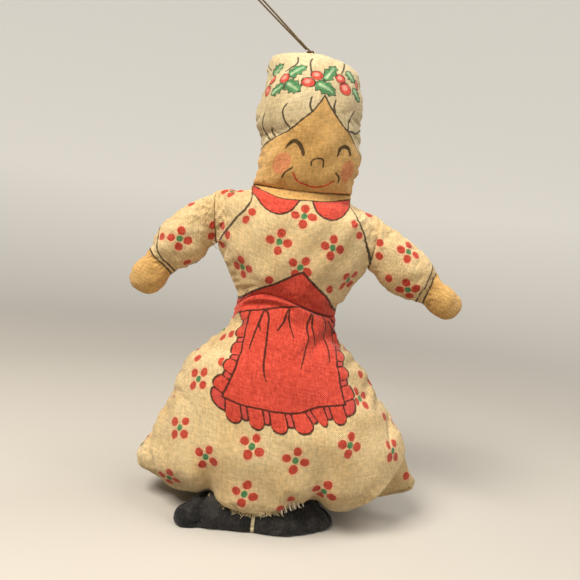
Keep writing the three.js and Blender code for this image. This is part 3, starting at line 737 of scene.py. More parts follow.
clothColours = {
    "cream": ("#ead19f", "#dfc18c"),
    "hair": ("#decda4", "#d0bc91"),
    "skin": ("#e2b56e", "#d6a65f"),
    "red": ("#df3d32", "#cf3329"),
    "mauve": ("#d8564c", "#cb4a43"),
    "petal": ("#cd3a2b", "#bb3023"),
    "green": ("#3f8f58", "#2f7a48"),
    "pale": "#c6dfb4",
    "gleam": "#f0b3a0",
    "rose": "#e58a62",
    "halo": "#efb48f",
    "ink": "#2b1e15",
}


clothSettings = {
    "threadPitch": 0.62,  # real threads are about 0.35 mm apart, drawn coarser so that they show
    "slub": 1.9,  # length of a thick place in a thread
    "weave": 0.24,  # share of the even over and under in the height of the threads
    "bleed": 0.9,  # size of the blots where ink runs along the threads
    "bleedReach": 0.18,
    "patch": 11,  # size of the soft patches of tone
    "halo": (0.75, 0.1),  # faint ink round a petal fades between these distances
    "grainAndThreadShading": (0.54, 1.3),  # painted shade between the threads and painted light on their tops, over the threads' own uneven tone
    "relief": 0.22,
}


def printedCotton(name, ground, settings):
    # plain-weave cotton, pigment printed: matt, threads show through the ink, whose edges bleed along them
    material, add = newMaterial(name)
    uv = add("UVMap", uv_map="cloth")
    place = add("TexCoord").outputs["Object"]
    pitch, slub = uvSpan / settings["threadPitch"], uvSpan / settings["slub"]
    runs = [add("Mapping", {"Vector": uv, "Scale": scale}) for scale in ((pitch, slub, 1), (slub, pitch, 1))]
    warp, weft = (add("TexNoise", {"Vector": run, "Scale": 1.0, "Detail": 2.0}) for run in runs)
    turns = add("VectorMath", {0: uv, 1: (2 * np.pi * pitch,) * 3}, operation="MULTIPLY")
    split = add("SeparateXYZ", {0: turns})
    over, under = (add("Math", {0: split.outputs[k]}, operation="SINE") for k in (0, 1))
    weave = add("Math", {0: over, 1: under}, operation="MULTIPLY")
    cloth = add("Math", {0: warp, 1: weft}, operation="ADD")
    cloth = add("Math", {0: cloth, 1: 0.6, 2: 0.4}, operation="MULTIPLY_ADD")
    cloth = add("Math", {0: weave, 1: settings["weave"], 2: cloth}, operation="MULTIPLY_ADD")
    bleed = add("TexNoise", {"Vector": place, "Scale": 1 / (settings["bleed"] * mm), "Detail": 2.0})
    reach = settings["bleedReach"]
    wobble = add("Math", {0: bleed, 1: 2 * reach, 2: -reach}, operation="MULTIPLY_ADD")
    patches = add("TexNoise", {"Vector": place, "Scale": 1 / (settings["patch"] * mm), "Detail": 3.0})
    height = {"Value": cloth, "From Min": 0.7, "From Max": 1.35}
    taken = add("MapRange", {**height, "To Min": 1.0, "To Max": 0.86})  # thread tops take less ink
    blush = add("MapRange", {**height, "To Min": 0.95, "To Max": 0.75})

    def edgeOf(layer):  # distance from a print's edge, made uneven
        shown = add("Attribute", attribute_name=layer).outputs["Fac"]
        return add("Math", {0: shown, 1: wobble}, operation="ADD")

    def printed(layer, soft=0.09, strength=1.0):  # share of the cloth that an ink covers
        edge = {"Value": edgeOf(layer), "From Min": soft, "From Max": -soft, "To Max": strength}
        return add("Math", {0: add("MapRange", edge), 1: taken}, operation="MULTIPLY")

    def patchy(ink, spread):  # the two tones of an ink or of bare cloth, in soft patches
        tone = add("MapRange", {"Value": patches, "From Min": 0.5 - spread, "From Max": 0.5 + spread})
        low, high = (toLinear(code) for code in clothColours[ink])
        return add("Mix", {0: tone, 6: low, 7: high}, data_type="RGBA")

    near, far = settings["halo"]
    halo = add("MapRange", {"Value": edgeOf("petal"), "From Min": near, "From Max": far, "To Max": 0.5})
    cheek = add("Attribute", attribute_name="rose").outputs["Fac"]
    rose = add("Math", {0: cheek, 1: blush}, operation="MULTIPLY")
    inks = [(printed("skin"), patchy("skin", 0.15)), (halo, toLinear(clothColours["halo"]))]
    inks += [(printed(ink), patchy(ink, 0.2)) for ink in ("petal", "red", "mauve", "green")]
    inks += [(rose, toLinear(clothColours["rose"]))]
    inks += [(printed(ink, 0.32, 0.9), toLinear(clothColours[ink])) for ink in ("pale", "gleam")]
    inks += [(printed("ink", 0.07, 0.95), toLinear(clothColours["ink"]))]
    colour = patchy(ground, 0.15)
    for cover, ink in inks:
        colour = add("Mix", {0: cover, 6: colour, 7: ink}, data_type="RGBA")
    # painted weave shading: the colour is multiplied by the threads' height, darker between the threads and
    # lighter on their tops
    low, high = settings["grainAndThreadShading"]
    tone = {"Value": cloth, "From Min": 0.65, "From Max": 1.35, "To Min": low, "To Max": high}
    grainAndThreadShading = add("CombineColor", dict.fromkeys(range(3), add("MapRange", tone)))
    colour = add("Mix", {0: 1.0, 6: colour, 7: grainAndThreadShading}, data_type="RGBA", blend_type="MULTIPLY")
    raised = add("Bump", {"Height": cloth, "Strength": 0.8, "Distance": settings["relief"] * mm})
    finish = {"Roughness": 0.93, "Sheen Weight": 0.2, "Sheen Roughness": 0.5, "Specular IOR Level": 0.15}
    shader = add("BsdfPrincipled", {"Base Color": colour, "Normal": raised, **finish})
    add("OutputMaterial", {0: shader})
    return material


dressCotton = printedCotton("printed_dress_cotton", "cream", clothSettings)
hairCotton = printedCotton("printed_head_cotton", "hair", clothSettings)


# Head: hair and wreath above a face, hair all over the back

neckDips = {-1: -1.9, 1: -0.4}  # in front and behind


def neckDip(u, z, side, low, high):  # the crease under the chin dips in front
    return neckDips[side] * (1 - u ** 2) * smoothStep(z, low, high)


headSettings = {
    "stations": [  # height, half width, half depth, sideways centre
        (neckZ, 15.8, 8.8, 0.7), (neckZ + 4.4, 15.8, 11.3, 1.4), (neckZ + 7.5, 16.3, 12.1, 1.8),
        (neckZ + 10.5, 16.3, 12.6, 2.1), (neckZ + 14.5, 16.1, 13.2, 1.7), (neckZ + 18.5, 16.9, 13.6, 0.6),
        (neckZ + 21.5, 16.9, 13.8, 0.3), (neckZ + 27.5, 16.2, 13.0, 0.7), (neckZ + 33.5, 14.9, 10.6, 0.5),
        (neckZ + 36.8, 14.4, 8.2, -0.2), (neckZ + 38.9, 13.4, 5.8, -0.9), (neckZ + 40.5, 11.2, 3.4, -1.8),
        (crownZ, 6.4, 0.0, -2.8),
    ],
    "power": 0.6,
    "warp": lambda u, x, z, side: neckDip(u, -z, side, -neckZ - 11, -neckZ),
    "rows": 200,
    "cols": 190,
    "simGrid": (56, 44),
    "ease": 0.045,
    "puckers": (0.1, 4.2),  # depth and wavelength
    "lumps": (0.22, 9),
    "seed": 11,
    "bend": 7,
}


hollySettings = {
    "share": (0, 0.1, 0.24, 0.36, 0.54, 0.66, 0.82, 0.88, 1),  # along the leaf
    "half": (0, 0.5, 1, 0.62, 1.05, 0.55, 0.72, 0.32, 0),  # share of its half width there
    "rib": (0.2, 0.8),
    "ribWidths": (0.9, 0.8, 0.3),
    "edge": 0.13,
    "berryEdge": 0.14,
    "gleam": (0.46, 0.42),  # shares of the berry
    "gleamPlace": (-0.1, 0.16),
}


def holly(panel, base, tip, wide):
    # a leaf between two places: its half width steps out to three spines a side; a pale rib and a dark edge
    a, b = onCloth(panel, [base, tip])
    along = b - a
    across = np.array([-along[1], along[0]]) / np.linalg.norm(along)
    middleLine = a + np.array(hollySettings["share"])[:, None] * along
    out = wide / 2 * np.array(hollySettings["half"])[:, None] * across
    leaf = areaOf(panel, np.concatenate([middleLine + out, (middleLine - out)[-2:0:-1]]))
    lay(panel, "green", leaf)
    lay(panel, "ink", np.abs(leaf) - hollySettings["edge"])
    rib = a + np.array(hollySettings["rib"])[:, None] * along
    lay(panel, "pale", reachOf(panel, rib, hollySettings["ribWidths"]))


def berry(panel, place, long, wide):
    around = aroundOf(panel, place)
    body = ovalOf(around, long, wide, 0)
    clear(panel, body, "green", "pale")
    lay(panel, "red", body)
    lay(panel, "ink", np.abs(body) - hollySettings["berryEdge"])
    size, shift = hollySettings["gleam"], hollySettings["gleamPlace"]
    gleam = ovalOf(around, long * size[0], wide * size[1], 0.5, (long * shift[0], wide * shift[1]))
    lay(panel, "gleam", gleam)


faceSettings = {
    "hairline": [
        (-15, 113.4), (-13.4, 114.3), (-9.2, 116.7), (-4.8, 118.5), (0.6, 123.3), (2.7, 126.2), (3.8, 128.4),
    ],
    "hairlineRight": [(3.8, 128.4), (5.8, 125.9), (7.6, 123.8), (11.2, 120.3), (15.0, 117.2), (17.6, 114.6)],
    "strands": [
        [(-10.8, 115.9), (-12.9, 118.8), (-13.6, 121.4), (-13.0, 123.6)],
        [(-9.2, 116.7), (-10.7, 118.1), (-10.6, 119.5)],
        [(-4.9, 118.7), (-6.6, 121.2), (-7.3, 123.6), (-6.3, 125.6)],
        [(0.8, 123.9), (0.1, 125.6), (0.4, 127.7)],
        [(7.3, 124.4), (6.8, 126.1), (7.3, 128.0)],
        [(11.6, 120.6), (12.0, 123.7), (13.6, 127.3)],
        [(11.7, 120.2), (15.5, 121.4), (17.1, 123.8)],
        [(-4.9, 140.9), (-5.0, 137.8), (-8.0, 135.8)],
        [(-0.8, 141.1), (-1.2, 138.4), (-0.4, 135.0)],
        [(-14.1, 142.6), (-14.4, 140.8), (-12.8, 137.9)],
        [(8.9, 142.0), (8.6, 138.6), (8.1, 136.7)],
    ],
    "leaves": [
        ((-12.5, 136.0), (-8.8, 138.4), 3.6), ((-7.0, 133.6), (-1.9, 137.4), 4.2),
        ((-11.4, 128.5), (-7.7, 131.5), 4.0), ((-7.6, 132.1), (-2.9, 128.9), 4.2),
        ((3.1, 132.8), (6.1, 139.4), 4.2), ((0.9, 132.3), (7.0, 129.3), 4.2),
        ((9.2, 138.2), (12.2, 135.2), 3.4), ((11.8, 133.5), (14.8, 130.6), 3.2),
    ],
    "berries": [
        ((-11.8, 133.8), 1.3, 1.5), ((-8.0, 133.3), 1.65, 1.6), ((-12.9, 130.6), 1.25, 1.6),
        ((-1.2, 131.9), 2.0, 1.5), ((1.3, 134.5), 1.8, 1.65), ((7.8, 134.7), 1.6, 1.6),
        ((9.7, 132.3), 2.0, 1.95), ((13.1, 135.3), 1.0, 1.4),
    ],
    "eyes": [
        [(-5.4, 113.4), (-4.6, 114.7), (-3.0, 115.4), (-1.1, 114.2), (-0.2, 112.0)],
        [(9.7, 112.7), (10.2, 114.8), (11.5, 115.9), (12.7, 115.6), (13.5, 114.1)],
    ],
    "nose": [(2.5, 109.0), (2.5, 110.3), (4.0, 111.3), (5.5, 110.9), (5.8, 109.3)],
    "smileLines": [
        [(-5.4, 105.3), (-4.8, 106.7), (-2.9, 108.0)], [(9.8, 108.3), (10.9, 107.2), (10.9, 105.9)],
    ],
    "mouth": [(-2.5, 106.7), (-1.0, 104.8), (1.5, 103.7), (4.6, 103.6), (7.3, 104.5), (9.6, 106.1)],
    "cheeks": [((-6.3, 109.1), 3.4, 2.6, 50), ((13.4, 109.3), 3.2, 2.6, 100)],
    "cheekSoft": 0.35,
    "blush": 0.85,
    "eyeWidths": (0.4, 1.05, 1.15, 1.15, 0.85),
    "strandWidths": (0.55, 0.6, 0.45),
    "smileWidths": (0.55, 0.6, 0.5),
    "mouthWidths": (0.45, 0.5, 0.4),
}


def printFace(panel, face):
    line = np.concatenate([curveOn(panel, face["hairline"]), curveOn(panel, face["hairlineRight"])[1:]])
    lay(panel, "skin", beyond(panel, line, flatLow))
    lay(panel, "ink", reachOf(panel, line, widths=0.5))
    for strand in face["strands"]:
        draw(panel, strand, face["strandWidths"])
    for base, tip, wide in face["leaves"]:
        holly(panel, base, tip, wide)
    for place, long, wide in face["berries"]:
        berry(panel, place, long, wide)
    for eye in face["eyes"]:
        draw(panel, eye, face["eyeWidths"])
    draw(panel, face["nose"])
    for line in face["smileLines"]:
        draw(panel, line, face["smileWidths"])
    draw(panel, face["mouth"], face["mouthWidths"], layer="red")
    soft = face["cheekSoft"]
    for place, long, wide, turn in face["cheeks"]:
        oval = ovalOf(aroundOf(panel, place), long, wide, np.radians(turn))
        blush = face["blush"] * smoothStep(-oval, -soft, soft)
        panel["paint"]["rose"] = np.maximum(panel["paint"]["rose"], blush)


hairBack = {
    "reach": 13,  # strands and wreath run this far to either side
    "strands": 8,
    "strandWidths": (0.45, 0.6, 0.4),
    "crownWidths": (0.35, 0.5, 0.4),
    "bunches": 5,
    "leaves": [((-0.6, 133.4), (-4.2, 137.2), 3.2), ((-0.6, 132.6), (-4.4, 129.6), 3.2)],
    "berries": [((0.6, 134.2), 1.5, 1.45), ((1.6, 131.6), 1.65, 1.55)],
    "nape": [(-14, 107.5), (0, 105.5), (14, 107.5)],
}


def printHairBack(panel, design):
    # strands fall from the wreath and turn in to the nape; the wreath goes on round,
    # leaves in pairs with berries between
    rng = np.random.default_rng(13)
    reach = design["reach"]
    for x in np.linspace(-reach, reach, design["strands"]):
        a, b, c, d, e, f = rng.uniform(-1, 1, 6)
        low = [(x + 0.8 * c, 116), (x * 0.8 + d, 111 + 3 * e)]
        draw(panel, [(x + a, 127 + 1.5 * b), (x * 1.08 + 1.4 * c, 121), *low], design["strandWidths"])
        high = [(x * 0.8 + a, 143 + b), (x * 0.9 + 0.8 * f, 140.5), (x * 0.93 - d, 138 + e)]
        draw(panel, high, design["crownWidths"])
    for x in np.linspace(-reach, reach, design["bunches"]):
        for base, tip, wide in design["leaves"]:
            holly(panel, (x + base[0], base[1]), (x + tip[0], tip[1]), wide)
        for place, long, wide in design["berries"]:
            berry(panel, (x + place[0], place[1]), long, wide)
    nape = curveOn(panel, design["nape"])
    lay(panel, "skin", beyond(panel, nape, flatLow))
    lay(panel, "ink", reachOf(panel, nape, widths=0.5))


def addHead(settings):
    prints = (partial(printFace, face=faceSettings), partial(printHairBack, design=hairBack))
    grid = partial(uprightGrid, settings)
    for piece in sewBag("head", settings, grid, prints, hairCotton):
        bendBetween(piece)


addHead(headSettings)


# Bodice: its sides run along the shoulder folds, where they keep the depth of the arm's root

foldTop, foldBottom = np.array([26.4, 0, neckZ - 5.27]), np.array([24.8, 0, neckZ - 21.27])
foldWay = (foldTop - foldBottom) / np.linalg.norm(foldTop - foldBottom)
foldMiddle = (foldTop + foldBottom) / 2
foldSettings = {"halfWidth": 8.4, "halfDepth": 5.4, "power": 0.6, "rise": 0.3, "tilt": 0.055}


def foldDepth(z):  # drawn in more at the armpit than at the shoulder
    share = (z - foldMiddle[2]) / foldWay[2] / foldSettings["halfWidth"]
    full = belly(share, foldSettings["power"])
    return foldSettings["halfDepth"] * (1 + foldSettings["rise"] * share) * full


def shoulderTilt(x, z):  # the shoulders slope down to the doll's left, between chest and neck
    fade = smoothStep(z, waistZ + 4, foldBottom[2] - 1) * (1 - smoothStep(z, foldTop[2] + 0.5, neckZ))
    return -foldSettings["tilt"] * x * fade


def waistLift(u, side):  # the waist crease runs aslant in front, higher on the doll's right
    return (4 - 4.8 * u if side < 0 else 1.0) * (1 - u ** 2)


bodiceSettings = {
    "stations": [
        (waistZ, 16, 10, -0.2), (waistZ + 3.3, 16.5, 11.2, 0.1), (waistZ + 5.3, 17.9, 11.8, 0.5),
        (waistZ + 10.8, 20.8, 12.7, 0.1), (foldBottom[2], foldBottom[0], 13.2, 0),
        (foldMiddle[2], foldMiddle[0], 13.0, 0), (foldTop[2], foldTop[0], 10.7, 0),
        (neckZ - 2, 16.5, 9, 0.4), (neckZ, 15.8, 8.8, 0.7),
    ],
    "power": 0.85,
    "edge": foldDepth,
    "warp": lambda u, x, z, side: (
        neckDip(u, z, side, neckZ - 10, neckZ) + shoulderTilt(x, z)
        + waistLift(u, side) * (1 - smoothStep(z, waistZ, waistZ + 15))
    ),
    "rows": 150,
    "cols": 210,
    "simGrid": (44, 48),
    "ease": 0.03,
    "puckers": (0.05, 4),
    "lumps": (0.25, 11),
    "seed": 31,
    "bend": (-1, 8),
}

bodicePrint = {
    "collarLine": [(-14.9, 103.1), (-11.1, 100.6), (-6.7, 99.0), (-0.5, 98.2), (7.0, 99.0), (16.3, 102.1)],
    "flaps": [
        [
            (-15.3, 102.6), (-12.0, 97.7), (-9.5, 94.8), (-6.9, 93.5), (-4.4, 93.6), (-1.8, 94.8),
            (-0.3, 96.6), (0.5, 98.1),
        ],
        [
            (4.2, 98.5), (5.0, 96.5), (6.5, 94.5), (8.7, 93.5), (11.0, 93.7), (13.5, 95.5), (15.4, 98.1),
            (16.4, 101.7),
        ],
    ],
    "raglans": [
        [
            (-14.9, 101.8), (-13.8, 98.0), (-15.1, 94.4), (-17.4, 91.3), (-20.2, 88.0), (-22.3, 85.6),
            (-23.1, 84.3),
        ],
        [(16.2, 99.1), (18.3, 95.3), (20.3, 91.8), (22.0, 88.5), (23.5, 85.8), (24.6, 82.8), (24.4, 81.4)],
    ],
    "flowers": [
        (-4.2, 85.4, 84), (2.1, 93.7, 92), (11.6, 85.6, 88), (-14.6, 76.8, 82), (2.7, 78.9, 62),
        (18.2, 76.4, 60), (-21.1, 100.1, 40),
    ],
    "petals": [
        (-13.0, 93.2), (-14.8, 91.0), (-20.2, 85.9), (-22.6, 83.1), (17.1, 93.3), (19.2, 90.3),
        (-5.6, 74.3), (12.5, 73.3), (-22.4, 88.6), (22.5, 97.5),
    ],
    "apron": [
        (-15.8, 67.0), (-9.0, 70.8), (-3.2, 73.7), (0.7, 75.9), (3.6, 77.5), (5.6, 75.8), (9.8, 72.3),
        (12.3, 70.0), (16.2, 66.4),
    ],
    "apronPoint": 4,  # which of these is the peak
    "backCollar": [(-16, 101.5), (-8, 97.2), (0, 96), (8, 97.2), (16, 101.5)],
    "backBand": [(-17, 68.2), (0, 69.2), (17, 68.2)],
    "raglanWidths": (0.45, 0.6, 0.6, 0.5),
    "spacing": 14.0,  # of the flowers behind
}


def fillArea(panel, area, line, width):  # plain red with an ink line and no flowers in it
    clear(panel, area, "petal", "green")
    lay(panel, "red", area)
    lay(panel, "ink", reachOf(panel, line, width))


def printBodice(panel, design):
    flowersOn(panel, design["flowers"], seed=21)
    petalsOn(panel, design["petals"])
    neck = curveOn(panel, design["collarLine"])
    lay(panel, "skin", beyond(panel, neck, flatHigh))
    for flap in design["flaps"]:
        hem = curveOn(panel, flap)
        between = (neck[:, 0] > hem[0, 0]) & (neck[:, 0] < hem[-1, 0])
        area = areaOf(panel, np.concatenate([hem, neck[between][::-1]]))
        fillArea(panel, area, hem, width=0.55)
    lay(panel, "ink", reachOf(panel, neck, widths=0.5))
    for raglan in design["raglans"]:
        draw(panel, raglan, design["raglanWidths"])
    places, peak = onCloth(panel, design["apron"]), design["apronPoint"]
    top = np.concatenate([refined(places[:peak + 1], (33,)), refined(places[peak:], (33,))[1:]])
    fillArea(panel, beyond(panel, top, flatLow), top, width=0.68)


def printBodiceBack(panel, design):
    scatterFlowers(panel, design["spacing"], seed=23)
    for places, far in ((design["backCollar"], flatHigh), (design["backBand"], flatLow)):
        line = curveOn(panel, places)
        fillArea(panel, beyond(panel, line, far), line, width=0.5)
    for raglan in design["raglans"]:
        draw(panel, raglan, design["raglanWidths"])


def bendAtWaist(piece):
    bendBetween(piece)


def addBodice(settings):
    prints = [partial(side, design=bodicePrint) for side in (printBodice, printBodiceBack)]
    grid = partial(uprightGrid, settings)
    for piece in sewBag("bodice", settings, grid, prints, dressCotton):
        bendAtWaist(piece)


addBodice(bodiceSettings)


# Arms: a curved bag from the shoulder fold to the tip of the hand

armSettings = {
    "stations": [  # share of the arm's length, half width, half depth
        (0, foldSettings["halfWidth"], foldSettings["halfDepth"]), (0.13, 8.4, 6.2), (0.36, 8.4, 7),
        (0.52, 7.2, 6.3), (0.62, 5.6, 5.0), (0.69, 5.4, 4.7), (0.82, 5.8, 4.8), (0.92, 5.2, 3.9),
        (0.97, 4.0, 2.8), (0.993, 2.6, 1.4), (1, 1.6, 0),
    ],
    "power": foldSettings["power"],
    "depthShare": 0.75,  # of the half width, for even steps across
    "leanBy": 0.4,  # share of the length by which the fold's own section is gone
    "startAngle": 36,
    "run": 0.3,  # share of the straight length that the curve's ends run on
    "squareBy": 0.42,  # share of the length by which rows lie square across the arm
    "wrist": (0.58, 0.74),  # between these shares the hand's own width comes in
    "left": {"handed": 1, "reach": 29.4, "drop": 19.3, "handAngle": 34, "hand": 0.88, "seed": 54},
    "right": {"handed": -1, "reach": 22.5, "drop": 26.2, "handAngle": 66, "hand": 1.0, "seed": 55},
    "rows": 130,
    "cols": 90,
    "simGrid": (44, 26),
    "ease": 0.025,
    "puckers": (0.07, 3.4),
    "lumps": (0.2, 8),
    "bend": 7,
}

armPrint = {
    "left": {
        "flowers": [(35.7, 87.3, 70), (37.1, 75.7, 40)],
        "petals": [(26.7, 89.0), (27.1, 85.0), (31, 78.5)],
        "cuffs": [[(43.8, 81.6), (42.1, 77.0), (41.1, 72.8)], [(45.7, 80.9), (43.9, 76.1), (43.1, 72.2)]],
    },
    "right": {
        "flowers": [(-35.1, 83.3, 40)],
        "petals": [(-33.4, 94.3), (-40.9, 83.3), (-32.9, 76.3), (-25.8, 88.7), (-26.1, 85.3)],
        "cuffs": [
            [(-42.0, 80.3), (-41.0, 77.7), (-38.7, 74.9), (-37.4, 73.4)],
            [(-45.1, 79.2), (-42.3, 76.5), (-39.9, 74.3), (-38.2, 72.5)],
        ],
    },
}


def armGrid(settings, arm, side, rows, cols):
    # a cubic from the fold to the hand; rows turn from the fold's slant to square across it,
    # with a lens section on each
    ways = [np.radians(angle) for angle in (settings["startAngle"], arm["handAngle"])]
    out, back = (np.array([np.cos(angle), 0, -np.sin(angle)]) for angle in ways)
    tip = foldMiddle + np.array([arm["reach"], 0, -arm["drop"]])
    run = np.hypot(arm["reach"], arm["drop"]) * settings["run"]
    bend, wrist = foldMiddle + run * out, tip - run * back
    fine = np.linspace(0, 1, 2001)
    k = fine[:, None]
    line = (1 - k) ** 3 * foldMiddle + 3 * (1 - k) ** 2 * k * bend
    line = line + 3 * (1 - k) * k ** 2 * wrist + k ** 3 * tip
    length = np.append(0, np.cumsum(np.linalg.norm(np.diff(line, axis=0), axis=1)))
    at, wide, deep = np.array(settings["stations"], float).T
    step = np.hypot(np.diff(fine) * length[-1], np.diff(through(at, deep, fine)))
    cloth = np.append(0, np.cumsum(step))
    t = np.interp(np.linspace(0, cloth[-1], rows), cloth, fine)
    share = length / length[-1]
    spine = np.stack([np.interp(t, share, line[:, i]) for i in range(3)], -1)
    tangent = np.stack([np.interp(t, share, np.gradient(line[:, i])) for i in range(3)], -1)
    square = np.stack([-tangent[:, 2], tangent[:, 1], tangent[:, 0]], -1)
    square /= np.linalg.norm(square, axis=1, keepdims=True)
    across = foldWay + (square - foldWay) * smoothStep(t, 0, settings["squareBy"])[:, None]
    across /= np.linalg.norm(across, axis=1, keepdims=True)
    u = evenAcross(cols, settings["depthShare"], settings["power"])[None]
    slim = 1 + (arm["hand"] - 1) * smoothStep(t, *settings["wrist"])
    w, d = (through(at, wide, t) * slim)[:, None], through(at, deep, t)[:, None]
    grid = spine[:, None] + across[:, None] * (w * u)[..., None]
    lean = 1 + foldSettings["rise"] * u * (1 - smoothStep(t, 0, settings["leanBy"]))[:, None]
    grid[..., 1] = side * (seamHalf + d * lean * belly(u, settings["power"]))
    grid[..., 0] *= arm["handed"]
    grid[..., 2] -= foldSettings["tilt"] * foldMiddle[0] * arm["handed"]
    return grid


def printArm(panel, design):
    if panel["side"] < 0:
        flowersOn(panel, design["flowers"], seed=41)
        petalsOn(panel, design["petals"])
    else:
        scatterFlowers(panel, spacing=12.5, seed=43)
    for cuff in design["cuffs"]:
        line = curveOn(panel, cuff)
        ends = [line[0] + 5 * (line[0] - line[6]), line[-1] + 5 * (line[-1] - line[-7])]
        line = np.concatenate([ends[:1], line, ends[1:]])
        hand = areaOf(panel, np.concatenate([line, [[ends[1][0], flatHigh], [ends[0][0], flatHigh]]]))
        clear(panel, hand, "petal", "green")
        lay(panel, "ink", reachOf(panel, line, widths=0.55))
    lay(panel, "skin", hand)


def addArm(name, settings):
    arm = settings[name]
    prints = [partial(printArm, design=armPrint[name])] * 2
    bag = {**settings, "seed": arm["seed"]}
    grid = partial(armGrid, settings, arm)
    for piece in sewBag(f"{name}_arm", bag, grid, prints, dressCotton):
        bendBetween(piece)


addArm("left", armSettings)
addArm("right", armSettings)


# Skirt: flared bag with the apron in front, its front hem hanging over the shoes

skirtSettings = {
    "stations": [  # height, half width, half depth behind, sideways centre, half depth in front
        (5.6, 26.0, 14.6, 0.5, 19.6), (7.4, 37.5, 17.6, 1.8, 20.4), (10.6, 45.4, 19.4, 2.7, 20.6),
        (13.0, 45.8, 20.2, 2.7, 20.8), (16.0, 43.9, 20.6, 2.4, 21.0), (22.0, 41.2, 20.9, 2.6, 21.0),
        (28.0, 39.0, 20.6, 2.6, 20.6), (34.0, 35.9, 19.6, 1.8, 19.6), (40.0, 32.7, 18.2, 0.1, 18.2),
        (46.0, 29.4, 16.6, -0.4, 16.6), (52.0, 23.5, 14.2, -0.2, 14.2), (58.0, 17.9, 11.6, -0.4, 11.6),
        (waistZ, 16.0, 10.0, -0.2, 10.0),
    ],
    "power": 0.6,
    "rows": 180,
    "cols": 290,
    "simGrid": (54, 60),
    "ease": 0.05,
    "puckers": (0.16, 5),
    "lumps": (0.35, 15),
    "seed": 71,
    # crease that cuts off the left corner, which is flat beyond it and hardly settles
    "flap": {"top": (45.0, 25.5), "low": (26.5, 8.5), "flat": 0.86, "soft": 3.4, "still": 0.9},
    # valley beside the right corner
    "lobe": {"top": (-40.5, 20.0), "low": (-33.0, 8.0), "deep": 1.3, "wide": 2.2, "fade": (19, 25)},
    "notch": (0.9, 1.6),  # depth and height of the nick in the seam at the valley's top
    "dents": [(-17.0, 2.8, 2.8), (15.4, 3.0, 3.0)],  # over the shoes: x, width and depth
    "dentPlace": (8, 9),  # height and half height
    "waistFrom": 50,  # the waist crease runs aslant from here up
    # front hem: outside its tab the cloth tucks under, and its ends are pushed clear of the shoes
    "tab": {
        "x": -2.2, "low": -5.0, "width": 17, "drop": -0.3, "rise": 4.6, "tuck": 4.2, "push": 1.7,
        "riseReach": 14, "riseFade": (5.6, 14), "tuckFade": (6, 16), "pushReach": 12, "pushFade": (6, 13),
    },
}


def hemTab(x):  # 1 along the tab of the front hem, 0 away from it
    return np.exp(-(((x - skirtSettings["tab"]["x"]) / skirtSettings["tab"]["width"]) ** 4))


def skirtWarp(u, x, z, side):
    # the waist crease at the top, and a front tab that hangs lower
    tab = skirtSettings["tab"]
    arc = tab["rise"] * ((x - tab["low"]) / tab["riseReach"]) ** 2 - tab["drop"]
    low = (1 - smoothStep(z, *tab["riseFade"])) * hemTab(x) if side < 0 else 0
    return waistLift(u, side) * smoothStep(z, skirtSettings["waistFrom"], waistZ) + arc * low


def fromLine(x, z, top, low):  # distance from a straight crease, positive away from the middle
    way = np.array(low) - np.array(top)
    way /= np.linalg.norm(way)
    return ((x - top[0]) * -way[1] + (z - top[1]) * way[0]) * np.sign(top[0])


def flapShare(x, z):  # 1 on the flat corner beyond the crease, 0 before it
    flap = skirtSettings["flap"]
    return smoothStep(fromLine(x, z, flap["top"], flap["low"]), 0, flap["soft"])


def skirtShape(grid, u, side):
    # dents in the lower front; the left corner flat beyond a crease, the right one a lobe beyond a valley
    x, y, z = np.moveaxis(grid, -1, 0)
    flap, lobe, tab = (skirtSettings[key] for key in ("flap", "lobe", "tab"))
    full = belly(u, skirtSettings["power"])
    if side < 0:
        y = y + tab["tuck"] * (1 - hemTab(x)) * (1 - smoothStep(z, *tab["tuckFade"])) * full
        aside = ((x - tab["x"]) / tab["pushReach"]) ** 2
        y = y - tab["push"] * aside * hemTab(x) * (1 - smoothStep(z, *tab["pushFade"]))
        for at, wide, deep in skirtSettings["dents"]:
            y = y + deep * bump(x, at, wide) * bump(z, *skirtSettings["dentPlace"])
    y = y * (1 - flap["flat"] * flapShare(x, z))
    valley = bump(fromLine(x, z, lobe["top"], lobe["low"]), 0, lobe["wide"])
    y = y - side * lobe["deep"] * valley * (1 - smoothStep(z, *lobe["fade"])) * full
    deep, high = skirtSettings["notch"]
    x = x + deep * bump(z, lobe["top"][1], high) * smoothStep(-u, 0.8, 1)
    return np.stack([x, y, z], -1)


def flapStill(grid):  # share of the settling that the flat corner is spared
    return skirtSettings["flap"]["still"] * flapShare(grid[..., 0], grid[..., 2])[..., None]


skirtSettings.update(warp=skirtWarp, shape=skirtShape, still=flapStill)

